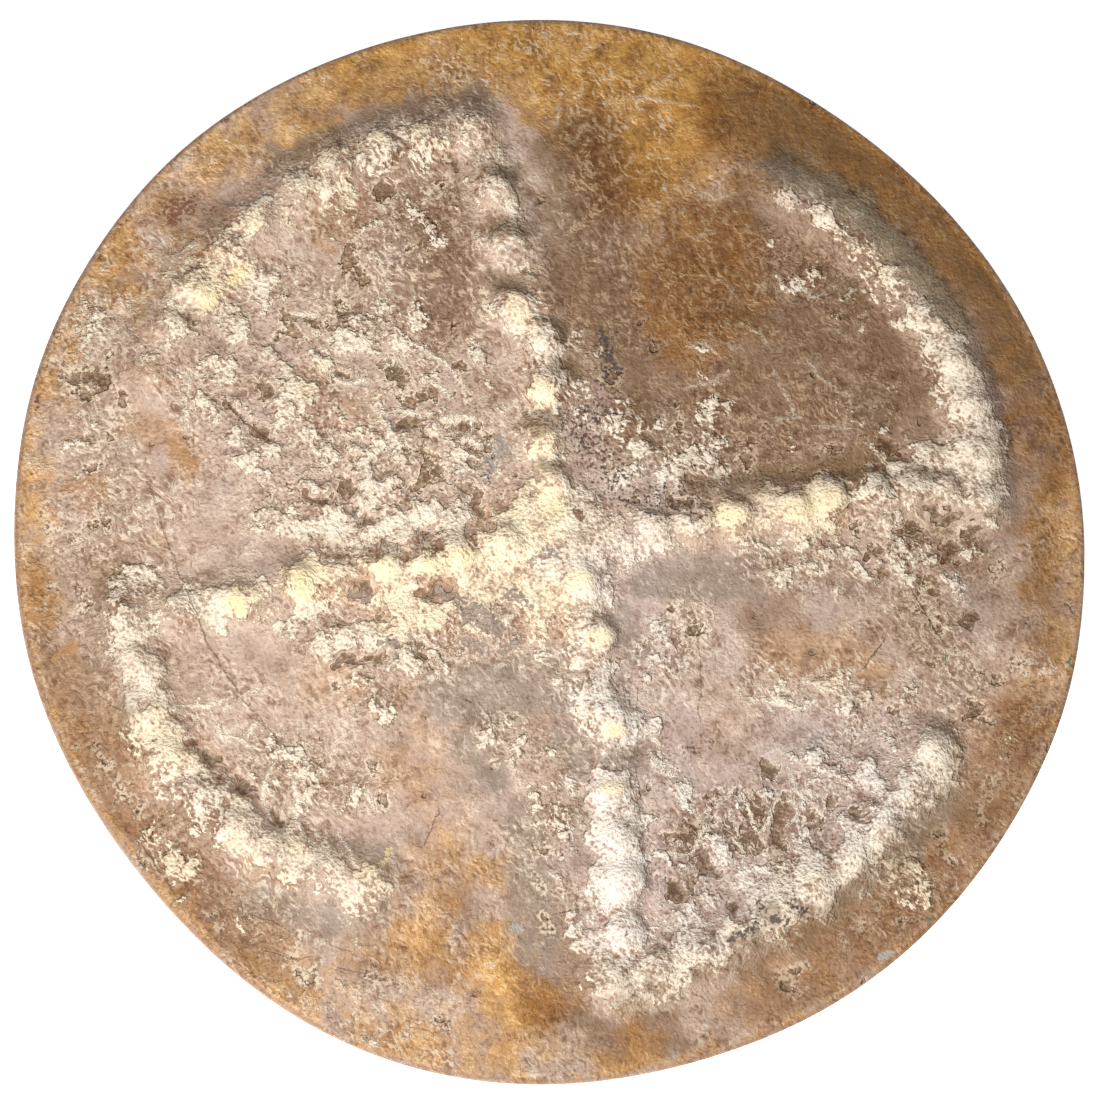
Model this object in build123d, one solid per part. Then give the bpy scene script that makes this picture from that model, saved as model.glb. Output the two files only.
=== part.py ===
from build123d import *
import math
import os
from collections import namedtuple

# Disc brooch: a hand-cut round of thin copper-alloy sheet with a whirling cross of
# bosses punched up from behind, and a plain pin fitting fixed across its back.
# It lies on the fitting, face up. Millimetres, +Z up, +Y is the top of the face,
# and the origin is on the resting surface below the middle of the disc.

# The sheet
DISC_RADIUS = 22.5
SHEET_THICKNESS = 0.9
EDGE_WEAR = 0.18

# How far the disc's back stands above the resting surface
FITTING_DEPTH = 3.4

# The bosses, and the low ridges that join them along the arms and along the hooks
BOSS_WIDTH = 2.1
ARM_BOSS_HEIGHT = 0.62
HOOK_BOSS_HEIGHT = 0.78
ARM_RIDGE_WIDTH = 2.4
ARM_RIDGE_HEIGHT = 0.3
HOOK_RIDGE_WIDTH = 3.1
HOOK_RIDGE_HEIGHT = 0.52
PUNCH_WIDTH = 1.4
PUNCH_DEPTH = 0.5
GROOVE_WIDTH = 1.6
GROOVE_DEPTH = 0.3
CROSSING_WIDTH = 5.2
CROSSING_HEIGHT = 0.42
HOOK_BOSS_PITCH = 2.0

# The pin fitting, one plain piece: a foot and barrel at one end of the pin,
# a foot and catch at the other
PIN_BEARING = 45.0
PIN_SPAN = 25.0
PIN_DIAMETER = 1.2
PIN_TIP_DIAMETER = 0.7
FOOT_THICKNESS = 0.7
FOOT_LENGTH = 5.0
BARREL_DIAMETER = 2.6
BARREL_LENGTH = 9.5
CATCH_WIDTH = 3.6
CATCH_LENGTH = 3.2
CATCH_WALL = 0.8

# How much of the pin's tip stands clear of the catch floor that it lies in
PIN_SEAT_SHARE = 0.8

back_z = FITTING_DEPTH
face_z = back_z + SHEET_THICKNESS

# The cut edge isn't a true circle: its radius at every 15 degrees, anticlockwise
# from the right, as a share of the disc's radius
rim_shares = [1.004, 1.006, 1.003, 0.996, 0.994, 1.001, 1.001, 0.997,
              0.999, 1.004, 1.003, 1.003, 0.998, 0.998, 0.992, 0.993,
              1.006, 1.012, 1.005, 0.995, 0.995, 0.995, 0.996, 1.003]

# Each arm runs out from the middle at its heading, and its bosses are a row of
# (out, aside) places, aside to the left of the way out. Its hook then turns
# anticlockwise along an arc, given as (bearing, radius) at start, middle and end.
# Lengths are shares of the disc's radius.
Arm = namedtuple("Arm", "heading bosses hook")
arms = [
    Arm(90, [(0.10, 0.01), (0.18, 0.035), (0.28, 0.03), (0.37, 0.03),
             (0.435, 0.09), (0.55, 0.10), (0.66, 0.12)],
        [(102, 0.790), (131, 0.810), (160, 0.812)]),
    Arm(0, [(0.17, 0.02), (0.25, 0.035), (0.325, 0.053), (0.44, 0.063),
            (0.51, 0.085), (0.59, 0.10), (0.67, 0.107), (0.735, 0.105)],
        [(6, 0.807), (32, 0.836), (58, 0.804)]),
    Arm(180, [(0.10, 0.02), (0.19, 0.04), (0.245, 0.06), (0.325, 0.067),
              (0.413, 0.09), (0.48, 0.107), (0.587, 0.142), (0.70, 0.164)],
        [(192, 0.812), (216, 0.831), (242, 0.730)]),
    Arm(270, [(0.085, 0.037), (0.19, 0.07), (0.342, 0.09), (0.48, 0.093),
              (0.56, 0.107), (0.64, 0.115), (0.735, 0.115)],
        [(277, 0.826), (304, 0.797), (331, 0.796)]),
]


def polar(bearing, length, z=0.0):
    """A point at a bearing in degrees and a distance from the disc's axis."""
    a = math.radians(bearing)
    return Vector(length * math.cos(a), length * math.sin(a), z)


def out_and_aside(heading, out, aside):
    """A point given along and to the left of an arm's heading, in shares."""
    way_out = polar(heading, out * DISC_RADIUS)
    return way_out + polar(heading + 90, aside * DISC_RADIUS)


def arm_bosses(arm):
    return [out_and_aside(arm.heading, out, aside) for out, aside in arm.bosses]


def hook_path(arm):
    """The arc that an arm's hook follows."""
    ends = [polar(bearing, share * DISC_RADIUS) for bearing, share in arm.hook]
    return ThreePointArc(*ends)


def hook_bosses(arm):
    """Bosses evenly spaced along the hook, one at each end."""
    path = hook_path(arm)
    gaps = max(1, round(path.length / HOOK_BOSS_PITCH))
    return [path @ (i / gaps) for i in range(gaps + 1)]


def arm_path(arm):
    """The gentle curve that an arm's ridge follows, from the middle to the hook."""
    bosses = arm_bosses(arm)
    return ThreePointArc(Vector(0, 0, 0), bosses[len(bosses) // 2], hook_path(arm) @ 0)


def cap_profile(width, height, foot_z, depth_below):
    """Section of a low round swelling of this width and height, on a foot plane."""
    half = width / 2
    below = foot_z - depth_below
    corners = [(-half, foot_z), (-half, below), (half, below), (half, foot_z)]
    outline = Polyline(*corners) + ThreePointArc((half, foot_z), (0, foot_z + height), (-half, foot_z))
    return make_face(outline)


def dome(centre, width, height, foot_z, depth_below):
    """A round boss, or the punch that makes a hollow."""
    half = width / 2
    below = foot_z - depth_below
    top = foot_z + height
    radius = (half ** 2 + height ** 2) / (2 * height)
    spread = 2 * math.degrees(math.atan2(height, half))
    outline = Polyline((0, top), (0, below), (half, below), (half, foot_z))
    outline += CenterArc((0, top - radius), radius, 90 - spread, spread)
    section = Plane.XZ * make_face(outline)
    return Pos(centre.X, centre.Y, 0) * revolve(section, Axis.Z, 360)


def swelling(path, width, height, foot_z, depth_below):
    """A round-topped bar along a path, for a ridge or for the groove behind it."""
    profile = cap_profile(width, height, foot_z, depth_below)
    start = path @ 0
    along = path % 0
    plane = Plane(origin=start, x_dir=Vector(0, 0, 1).cross(along), z_dir=along)
    return sweep(plane * profile, path)


def make_disc():
    """The sheet with its relief: raised from behind, so hollow at the back."""
    rim = [polar(i * 360 / len(rim_shares), share * DISC_RADIUS)
           for i, share in enumerate(rim_shares)]
    outline = Spline(*rim, periodic=True)
    sheet = Pos(0, 0, back_z) * extrude(make_face(outline), SHEET_THICKNESS)
    sheet = fillet(sheet.edges().group_by(Axis.Z)[-1], EDGE_WEAR)

    embed = SHEET_THICKNESS / 2
    raised = [dome(Vector(0, 0, 0), CROSSING_WIDTH, CROSSING_HEIGHT, face_z, embed)]
    hollows = []
    for arm in arms:
        ridges = [(arm_path(arm), ARM_RIDGE_WIDTH, ARM_RIDGE_HEIGHT),
                  (hook_path(arm), HOOK_RIDGE_WIDTH, HOOK_RIDGE_HEIGHT)]
        for path, width, height in ridges:
            raised.append(swelling(path, width, height, face_z, embed))
            for end in (path @ 0, path @ 1):
                raised.append(dome(end, width, height, face_z, embed))
        rows = [(arm_bosses(arm), ARM_BOSS_HEIGHT), (hook_bosses(arm), HOOK_BOSS_HEIGHT)]
        for centres, height in rows:
            for centre in centres:
                raised.append(dome(centre, BOSS_WIDTH, height, face_z, embed))
                hollows.append(dome(centre, PUNCH_WIDTH, PUNCH_DEPTH, back_z, embed))
        hollows.append(swelling(hook_path(arm), GROOVE_WIDTH, GROOVE_DEPTH, back_z, embed))
    return (sheet + raised) - hollows


def make_pin_fitting():
    """Foot, barrel, pin and catch in one piece, drawn along X and then turned."""
    barrel_x = -PIN_SPAN / 2
    catch_x = PIN_SPAN / 2
    foot_z = back_z - FOOT_THICKNESS
    pin_z = CATCH_WALL + PIN_SEAT_SHARE * PIN_TIP_DIAMETER / 2
    foot_corner = FOOT_LENGTH / 4
    barrel_rounding = BARREL_DIAMETER / 3
    catch_rounding = CATCH_WALL / 2

    hinge_foot = Pos(barrel_x, 0, foot_z) * Box(
        FOOT_LENGTH, BARREL_LENGTH, FOOT_THICKNESS, align=(Align.CENTER, Align.CENTER, Align.MIN))
    hinge_foot = fillet(hinge_foot.edges().filter_by(Axis.Z), foot_corner)
    barrel_block = Pos(barrel_x, 0, 0) * Box(
        BARREL_DIAMETER, BARREL_LENGTH, back_z, align=(Align.CENTER, Align.CENTER, Align.MIN))
    lower_edges = barrel_block.edges().filter_by(Axis.Y).group_by(Axis.Z)[0]
    barrel_block = fillet(lower_edges, barrel_rounding)

    catch_foot = Pos(catch_x, 0, foot_z) * Box(
        CATCH_LENGTH + 2 * CATCH_WALL, CATCH_WIDTH + 2 * CATCH_WALL, FOOT_THICKNESS,
        align=(Align.CENTER, Align.CENTER, Align.MIN))
    catch_foot = fillet(catch_foot.edges().filter_by(Axis.Z), CATCH_WALL)
    catch_back = Pos(catch_x, CATCH_WIDTH / 2, 0) * Box(
        CATCH_LENGTH, CATCH_WALL, back_z, align=(Align.CENTER, Align.MAX, Align.MIN))
    catch_floor = Pos(catch_x, 0, 0) * Box(
        CATCH_LENGTH, CATCH_WIDTH, CATCH_WALL, align=(Align.CENTER, Align.CENTER, Align.MIN))
    catch_lip = Pos(catch_x, -CATCH_WIDTH / 2, 0) * Box(
        CATCH_LENGTH, CATCH_WALL, pin_z, align=(Align.CENTER, Align.MIN, Align.MIN))
    catch = catch_back + catch_floor + catch_lip
    catch = fillet(catch.edges().filter_by(Axis.X).group_by(Axis.Z)[0], catch_rounding)

    pin_length = PIN_SPAN + CATCH_LENGTH / 2
    pin = Pos(barrel_x, 0, pin_z) * (Rot(0, 90, 0) * Cone(
        PIN_DIAMETER / 2, PIN_TIP_DIAMETER / 2, pin_length,
        align=(Align.CENTER, Align.CENTER, Align.MIN)))
    fitting = hinge_foot + barrel_block + catch_foot + catch + pin
    return Rot(0, 0, PIN_BEARING) * fitting


nodes = {
    "disc": make_disc,
    "pin_fitting": make_pin_fitting,
}

os.makedirs("parts", exist_ok=True)
for name, make in nodes.items():
    export_step(make(), f"parts/{name}.step")
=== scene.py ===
import math
from collections import namedtuple
import bpy
import numpy as np
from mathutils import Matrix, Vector, noise


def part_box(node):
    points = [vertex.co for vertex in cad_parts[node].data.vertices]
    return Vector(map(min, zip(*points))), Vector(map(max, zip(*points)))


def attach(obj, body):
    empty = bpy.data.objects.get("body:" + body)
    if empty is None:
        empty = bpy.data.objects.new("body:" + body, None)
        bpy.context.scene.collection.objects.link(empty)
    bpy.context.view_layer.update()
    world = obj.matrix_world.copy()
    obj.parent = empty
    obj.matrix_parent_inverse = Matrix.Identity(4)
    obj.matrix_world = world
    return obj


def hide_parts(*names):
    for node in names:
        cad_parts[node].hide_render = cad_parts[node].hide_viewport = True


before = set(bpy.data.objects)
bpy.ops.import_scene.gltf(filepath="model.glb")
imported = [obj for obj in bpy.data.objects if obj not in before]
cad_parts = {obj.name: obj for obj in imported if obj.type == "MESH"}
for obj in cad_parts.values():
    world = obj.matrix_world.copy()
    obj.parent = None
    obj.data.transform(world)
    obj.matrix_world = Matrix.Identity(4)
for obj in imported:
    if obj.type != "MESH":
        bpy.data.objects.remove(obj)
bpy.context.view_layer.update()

# The sheet: one hand-cut round of thin hammered bronze, 45 mm across. Its bosses and
# ridges are punched up from behind, so the back is hollow under them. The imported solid
# gives the outline and the relief, and this mesh adds the worn and crusted skin.
MM = 0.001
SHEET_THICKNESS = 0.9

# The visible mesh: cells across the face and the back, gaps to the edge in mm, and
# the rows of the rim as (gap to the edge, depth below the face)
FACE_CELLS = 272
BACK_CELLS = 104
FACE_INSET = 0.30
BACK_INSET = 0.40
RIM_ROWS = [(0.13, 0.02), (0.05, 0.08), (0.01, 0.24), (0.01, 0.62), (0.05, 0.80), (0.18, 0.90)]
START_CLEAR = 3
RIM_READINGS = 721
EIGHTH_TURN = math.pi / 4
TINY = 1e-9
FACE_SOFTENING = 9
BACK_SOFTENING = 3

cad_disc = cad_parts["disc"]
disc_low, disc_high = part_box("disc")
back_z = disc_low.z / MM
face_z = back_z + SHEET_THICKNESS


def rim_radius(bearings):
    """The cut edge's distance from the axis, in mm, at each bearing in radians."""
    middle = Vector((0, 0, (face_z - SHEET_THICKNESS / 3) * MM))
    way = np.linspace(-math.pi, math.pi, RIM_READINGS)
    reach = []
    for bearing in way:
        outward = Vector((math.cos(bearing), math.sin(bearing), 0))
        _, edge, _, _ = cad_disc.ray_cast(middle, outward)
        reach.append(math.hypot(edge.x, edge.y) / MM)
    return np.interp(bearings, way, reach)


def vertex_places(piece):
    """All of a mesh's points, in mm, as rows of x, y, z."""
    flat = np.zeros(len(piece.data.vertices) * 3)
    piece.data.vertices.foreach_get("co", flat)
    return flat.reshape(-1, 3) / MM


def move_vertices(piece, places):
    piece.data.vertices.foreach_set("co", (places * MM).ravel())
    piece.data.update()


def round_net(name, cells, inset, height):
    """A square net of quads drawn out to the disc's outline, this far inside its edge."""
    bpy.ops.object.select_all(action="DESELECT")
    bpy.ops.mesh.primitive_grid_add(x_subdivisions=cells, y_subdivisions=cells, size=2 * MM)
    piece = bpy.context.object
    piece.name = name
    places = vertex_places(piece)
    a, b = places[:, 0], places[:, 1]
    flat_side = np.abs(a) > np.abs(b)
    reach = np.where(flat_side, a, b)
    safe = np.where(np.abs(reach) < TINY, 1.0, reach)
    turn = np.where(flat_side, EIGHTH_TURN * b / safe, EIGHTH_TURN * (2 - a / safe))
    x, y = reach * np.cos(turn), reach * np.sin(turn)
    edge = rim_radius(np.arctan2(y, x)) - inset
    move_vertices(piece, np.stack([x * edge, y * edge, np.full_like(x, height)], 1))
    return piece


def press_onto(piece, target, soften):
    """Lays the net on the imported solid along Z, then eases the creases between its swellings."""
    drape = piece.modifiers.new("drape", "SHRINKWRAP")
    drape.target = target
    drape.wrap_method = "PROJECT"
    drape.use_project_z = True
    drape.use_positive_direction = True
    drape.use_negative_direction = True
    bpy.ops.object.modifier_apply(modifier="drape")
    ease = piece.modifiers.new("ease", "SMOOTH")
    ease.use_x = ease.use_y = False
    ease.iterations = soften
    bpy.ops.object.modifier_apply(modifier="ease")


disc = round_net("disc_sheet", FACE_CELLS, FACE_INSET, face_z + START_CLEAR)
press_onto(disc, cad_disc, FACE_SOFTENING)
face_count = len(disc.data.vertices)

# The finish of the face is charted here as brush strokes, each with a strength, a half
# width in mm and the places that it runs through. Noise then breaks the strokes up.
# First the routes of the hooks, anticlockwise, and of the arms, from the middle out
TOP_HOOK = [(-3.6, 17.3), (-5.8, 16.8), (-7.8, 16.0), (-9.7, 15.2), (-11.6, 14.0), (-13.0, 12.7),
            (-14.4, 11.3), (-15.4, 9.6), (-16.2, 7.8), (-16.7, 6.6)]
RIGHT_HOOK = [(18.2, 2.0), (18.0, 4.4), (17.4, 6.4), (16.6, 8.2), (15.5, 9.7), (14.4, 10.9),
              (13.2, 12.2), (12.0, 13.3), (10.9, 14.3), (9.3, 15.0)]
LEFT_HOOK = [(-17.8, -4.6), (-17.5, -6.2), (-17.0, -7.8), (-16.3, -9.2), (-15.2, -10.5),
             (-14.1, -11.7), (-12.9, -12.8), (-11.5, -13.8), (-9.8, -14.4), (-8.0, -14.7)]
BOTTOM_HOOK = [(2.0, -18.4), (4.5, -17.6), (6.6, -16.7), (8.7, -15.5), (10.6, -14.2),
               (12.2, -13.0), (13.6, -11.4), (15.0, -10.2), (15.8, -8.8)]
TOP_ARM = [(-0.2, 0.8), (-0.3, 2.3), (-0.8, 4.0), (-0.7, 6.3), (-1.0, 8.2), (-2.0, 9.8),
           (-2.2, 12.4), (-2.8, 14.9), (-3.6, 17.2)]
RIGHT_ARM = [(1.0, 0.1), (3.8, 0.4), (5.6, 0.7), (7.3, 1.1), (9.9, 1.3), (11.5, 1.8), (13.2, 2.1),
             (15.0, 2.4), (16.6, 2.5), (18.1, 1.9)]
LEFT_ARM = [(-0.6, -0.4), (-2.4, -0.7), (-4.2, -1.1), (-5.6, -1.5), (-7.3, -1.8), (-9.2, -2.1),
            (-10.8, -2.4), (-13.2, -3.2), (-15.8, -3.7), (-17.3, -2.9)]
BOTTOM_ARM = [(0.6, -0.8), (0.8, -2.4), (1.4, -4.2), (1.0, -5.8), (1.8, -7.2), (2.2, -8.3)]
BOTTOM_ARM_END = [(2.0, -10.3), (2.3, -12.5), (2.4, -14.4), (2.6, -16.6), (2.0, -18.4)]

# Build-up: cream crust where it is strong, pale film where it is weak
crust_strokes = [
    (1.5, 2.7, [(-1.8, -1.0), (0.2, -1.2), (0.2, 0.4)]),
    (0.8, 1.4, [(-12.4, -3.0), (-6.0, -1.6), (-1.6, -0.6)]),
    (1.7, 1.5, [(2.1, -10.8), (2.3, -12.6), (2.4, -15.0)]),
    (1.1, 1.5, [(1.2, -2.6), (1.3, -5.0), (1.5, -7.0)]),
    (1.2, 1.6, [(2.0, -7.0), (2.2, -8.2)]),
    (1.1, 1.3, [(3.0, -5.9), (4.4, -5.2)]),
    (1.2, 1.3, [(8.2, -14.7), (9.2, -14.5)]),
    (1.2, 1.6, [(10.6, -13.6), (12.2, -13.4)]),
    (1.0, 1.1, [(12.9, -10.4), (13.4, -11.2)]),
    (1.0, 1.2, [(2.8, -17.6), (5.0, -17.2)]),
    (0.9, 1.1, [(15.4, -9.4), (15.0, -10.8)]),
    (0.7, 2.8, [(-14.8, 10.4), (-14.4, 6.6)]),
    (1.1, 1.3, [(-17.0, -6.1), (-16.2, -8.2), (-15.0, -9.9), (-13.8, -11.1), (-12.6, -12.1),
        (-11.2, -13.1), (-9.6, -13.8)]),
    (0.9, 1.2, [(13.6, -12.8), (14.2, -14.0), (14.5, -14.6)]),
    (0.8, 0.4, [(-7.0, 5.0), (-6.4, 5.1), (-5.9, 4.9)]),
    (0.8, 0.45, [(-5.8, 3.2), (-5.2, 3.1), (-4.8, 2.9)]),
    (0.9, 0.5, [(-12.9, 3.0), (-12.4, 3.2), (-11.9, 2.9)]),
    (0.8, 0.4, [(-10.7, 1.8), (-10.2, 1.6), (-9.7, 1.9)]),
    (0.8, 0.4, [(-5.9, 7.9), (-5.3, 7.4), (-4.6, 7.2)]),
    (0.7, 0.4, [(-6.4, 1.6), (-5.4, 1.5), (-4.9, 1.2)]),
    (0.8, 0.4, [(7.6, -10.7), (8.0, -11.7), (8.4, -12.2), (8.9, -11.4)]),
    (0.9, 1.6, [(8.4, -14.8), (11.6, -13.6)]),
    (0.6, 1.7, TOP_HOOK),
    (1.1, 1.5, RIGHT_HOOK[:4]),
    (0.85, 1.25, RIGHT_HOOK[3:7]),
    (0.85, 0.6, RIGHT_HOOK[6:]),
    (0.3, 1.4, [(9.8, 16.1), (12.2, 14.8), (14.6, 12.4), (16.4, 9.8), (18.2, 7.0), (18.6, 5.0)]),
    (0.85, 1.6, LEFT_HOOK),
    (0.95, 1.9, BOTTOM_HOOK),
    (1.0, 1.5, TOP_ARM[:6]),
    (0.75, 1.3, TOP_ARM[5:]),
    (1.0, 1.4, RIGHT_ARM[:6]),
    (0.6, 1.3, RIGHT_ARM[5:8]),
    (1.0, 1.4, RIGHT_ARM[7:]),
    (0.7, 1.3, LEFT_ARM),
    (1.0, 1.4, BOTTOM_ARM),
    (1.0, 1.4, BOTTOM_ARM_END),
    (0.5, 1.3, [(-9.0, 14.6), (-8.6, 15.0)]),
    (0.8, 1.4, [(-13.2, 10.5), (-12.4, 10.4)]),
    (0.7, 1.2, [(-14.4, 8.4), (-13.4, 7.8)]),
    (0.8, 1.1, [(-12.4, 7.4), (-12.0, 6.2), (-13.4, 5.5)]),
    (0.7, 1.5, [(-12.9, 3.2), (-12.1, 2.5)]),
    (0.6, 0.9, [(-16.6, 7.2), (-15.8, 6.6)]),
    (0.7, 0.4, [(-15.4, 6.4), (-15.7, 5.2), (-15.5, 4.2)]),
    (0.55, 1.6, [(-8.6, 8.6), (-6.4, 8.8)]),
    (0.7, 0.7, [(-11.6, 11.0), (-11.1, 10.7)]),
    (0.3, 1.6, [(-7.6, 13.0), (-6.0, 12.6), (-4.4, 13.4)]),
    (0.55, 1.2, [(-5.6, 7.7), (-4.6, 7.1), (-3.8, 7.4)]),
    (0.5, 3.4, [(-8.0, 1.6), (-5.0, 2.4)]),
    (0.45, 2.6, [(-6.6, 5.6), (-4.0, 5.0)]),
    (0.62, 1.4, [(-5.4, 3.2), (-3.4, 1.2)]),
    (0.85, 2.0, [(-10.2, -3.7), (-8.0, -4.0), (-6.0, -4.2), (-4.6, -3.4)]),
    (0.7, 1.0, [(-9.4, -5.0), (-5.0, -5.4)]),
    (0.85, 1.5, [(-3.2, -2.6), (-0.8, -3.4), (-1.6, -4.8)]),
    (0.7, 0.6, [(-8.4, -5.6), (-7.9, -6.5), (-7.6, -7.4), (-7.3, -8.0)]),
    (0.5, 0.5, [(-13.6, -8.5), (-12.6, -8.8)]),
    (0.5, 0.5, [(-12.0, -9.3), (-10.6, -10.6), (-10.6, -11.6)]),
    (0.45, 0.6, [(-15.2, -7.6), (-13.0, -7.3), (-12.4, -6.9)]),
    (0.75, 0.8, [(-16.5, -13.1), (-15.8, -14.0), (-15.0, -14.3)]),
    (0.6, 0.7, [(-10.2, -16.2), (-9.6, -16.9)]),
    (0.5, 0.6, [(-8.5, -16.4), (-8.2, -17.2)]),
    (0.5, 0.8, [(-12.2, -12.0), (-11.6, -11.0)]),
    (1.0, 1.4, [(2.6, -6.1), (4.0, -5.4), (4.6, -4.7)]),
    (0.7, 0.7, [(4.6, -4.1), (5.9, -3.1)]),
    (0.62, 0.6, [(3.8, -8.1), (4.2, -9.6)]),
    (0.6, 0.6, [(4.8, -10.4), (5.4, -10.7)]),
    (0.65, 0.7, [(7.9, -11.0), (8.1, -12.1), (8.9, -11.1), (9.9, -10.6), (10.8, -11.3)]),
    (0.85, 1.2, [(6.2, -12.2), (7.2, -12.8)]),
    (0.8, 0.8, [(4.4, -13.4), (5.4, -13.7)]),
    (0.7, 1.0, [(5.6, -14.9), (6.6, -15.0)]),
    (0.4, 4.0, [(6.0, -14.5), (10.0, -12.0)]),
    (0.8, 1.4, [(10.0, -12.9), (12.0, -12.4)]),
    (0.75, 1.3, [(13.0, -10.0), (12.4, -9.4), (13.8, -8.8)]),
    (0.6, 0.8, [(14.7, -7.0), (15.2, -7.2)]),
    (1.0, 2.0, [(1.8, -16.6), (4.0, -16.9)]),
    (0.6, 1.0, [(-2.8, -8.3), (-1.2, -8.6), (-1.4, -9.4)]),
    (0.55, 1.1, [(0.2, -10.5), (0.4, -12.2), (0.1, -14.0), (0.6, -15.6)]),
    (0.45, 0.9, [(-2.0, -10.8), (-1.5, -13.6)]),
    (0.65, 0.8, [(1.8, -1.0), (3.0, -1.4)]),
    (0.8, 1.2, [(8.5, -0.8), (10.0, -1.1), (11.5, -0.5)]),
    (0.9, 0.5, [(12.5, -0.5), (12.9, -1.3)]),
    (0.8, 0.5, [(15.0, -1.5), (15.2, -2.4)]),
    (0.9, 0.5, [(17.5, 0.3), (17.6, -0.6)]),
    (0.8, 0.4, [(17.1, -1.0), (17.0, -2.2)]),
    (0.8, 0.9, [(14.4, 0.3), (15.4, 0.0)]),
    (0.7, 0.6, [(12.0, -1.9), (13.4, -2.2)]),
    (0.8, 0.4, [(8.1, -6.7), (9.4, -6.8), (10.4, -7.0)]),
    (0.6, 0.7, [(9.1, -5.8), (9.7, -6.4)]),
    (0.5, 1.2, [(11.2, -8.8), (12.2, -9.8)]),
    (0.15, 1.2, [(12.5, 0.3), (15.0, 0.5), (17.4, 0.2)]),
    (0.45, 1.0, [(9.8, 12.6), (10.7, 12.3), (11.3, 11.4)]),
    (0.6, 0.5, [(9.4, 12.0), (9.7, 11.3), (10.5, 11.2)]),
    (0.5, 0.5, [(11.0, 10.6), (12.0, 10.8)]),
    (0.5, 0.5, [(5.6, 6.5), (7.0, 7.0)]),
    (0.5, 0.8, [(13.0, 10.8), (12.6, 11.5)]),
    (0.5, 0.8, [(14.2, 6.7), (13.6, 5.0), (14.3, 4.0)]),
    (0.8, 0.6, [(7.2, 5.9), (6.3, 5.4), (6.4, 4.4), (7.3, 4.0)]),
    (1.1, 1.6, [(14.8, 2.9), (16.2, 3.1)]),
    (0.7, 1.2, [(-12.8, 6.4), (-11.6, 5.4)]),
    (1.0, 1.2, [(-17.2, -2.6), (-15.6, -3.4), (-13.4, -3.3)]),
    (0.8, 1.3, TOP_HOOK[2:8]),
    (1.2, 2.2, [(-7.0, -2.6), (-3.6, -2.8), (-1.0, -2.4)]),
    (0.8, 1.5, [(-4.6, -4.0), (-2.6, -4.2)]),
    (1.1, 1.6, [(-15.4, 9.8), (-14.6, 8.6)]),
    (0.9, 1.8, [(-12.6, 6.2), (-11.2, 6.4)]),
    (0.8, 1.6, [(-9.6, 3.4), (-8.4, 2.6)]),
    (1.1, 1.7, [(2.6, -0.2), (3.6, 0.2)]),
    (0.55, 1.6, [(8.6, -6.2), (12.4, -6.2)]),
    (0.3, 1.2, [(0.9, 6.6), (1.6, 5.2), (2.4, 3.6), (3.4, 2.2)]),
    (1.3, 1.6, [(-7.0, 0.3), (-5.2, 0.3)]),
    (0.25, 2.0, [(-19.0, 0.4), (-17.0, 0.2)]),
    (0.6, 1.6, [(-9.8, 0.6), (-8.2, 0.2)]),
    (0.4, 2.4, [(-12.0, 0.4), (-6.0, -0.2)]),
    (0.9, 1.2, [(5.2, 2.6), (6.6, 2.8)]),
    (1.3, 1.7, [(14.4, 3.0), (15.4, 3.4)]),
    (0.6, 1.3, [(6.0, -14.6), (6.6, -15.4)]),
    (0.4, 1.0, [(9.0, 12.6), (11.6, 12.4)]),
    (0.6, 0.8, [(0.5, 8.4), (1.3, 7.7)]),
    (0.6, 1.3, [(1.0, 5.5), (2.5, 5.0), (3.6, 4.4)]),
    (0.35, 2.4, [(3.6, 1.8), (5.2, 2.0)]),
    (0.35, 2.2, [(1.2, 4.8), (2.2, 2.8)]),
    (0.4, 0.5, [(4.6, 6.1), (6.0, 6.8), (7.0, 7.4)]),
    (0.8, 0.7, [(3.5, 4.0), (3.9, 3.7)]),
    (0.6, 0.8, [(6.0, 5.3), (6.8, 5.8)]),
]

# Golden metal showing through the thin skin, mostly along the rim
brass_strokes = [
    (1.3, 3.4, [(-8.5, 20.4), (-5.0, 21.6), (0.0, 22.4), (6.0, 21.4), (10.5, 19.6)]),
    (1.3, 4.6, [(1.5, 20.0), (3.8, 17.2)]),
    (0.9, 4.0, [(5.0, 16.5), (5.8, 12.5), (6.0, 9.4)]),
    (1.25, 3.6, [(6.0, 20.4), (10.5, 19.0), (14.5, 16.6)]),
    (1.0, 3.4, [(14.5, 17.0), (18.3, 13.0)]),
    (0.75, 3.4, [(18.3, 13.0), (21.0, 8.0), (22.4, 3.0), (22.4, -3.0)]),
    (0.62, 3.4, [(-4.0, -14.8), (-6.2, -17.4), (-3.2, -17.8), (-2.2, -19.8), (1.0, -21.6),
        (4.4, -21.8)]),
    (0.75, 2.8, [(-6.0, -20.6), (-2.0, -21.8)]),
    (1.0, 1.6, [(-3.0, -16.9), (-2.0, -18.2), (-0.9, -19.6)]),
    (0.6, 2.5, [(-21.8, 6.0), (-22.2, 0.0), (-22.0, -4.0)]),
    (0.6, 2.4, [(-17.0, -15.0), (-12.0, -18.6), (-7.0, -20.6)]),
    (0.66, 3.8, [(-10.0, 18.8), (-14.8, 15.6), (-18.0, 12.0), (-20.4, 8.4)]),
    (0.45, 2.4, [(-20.6, -8.0), (-18.4, -12.4), (-15.4, -16.0), (-11.6, -18.8)]),
    (0.5, 2.4, [(21.0, -6.0), (19.2, -11.0)]),
    (0.35, 2.4, [(19.2, -11.0), (15.6, -15.6), (9.0, -19.8)]),
]

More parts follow.
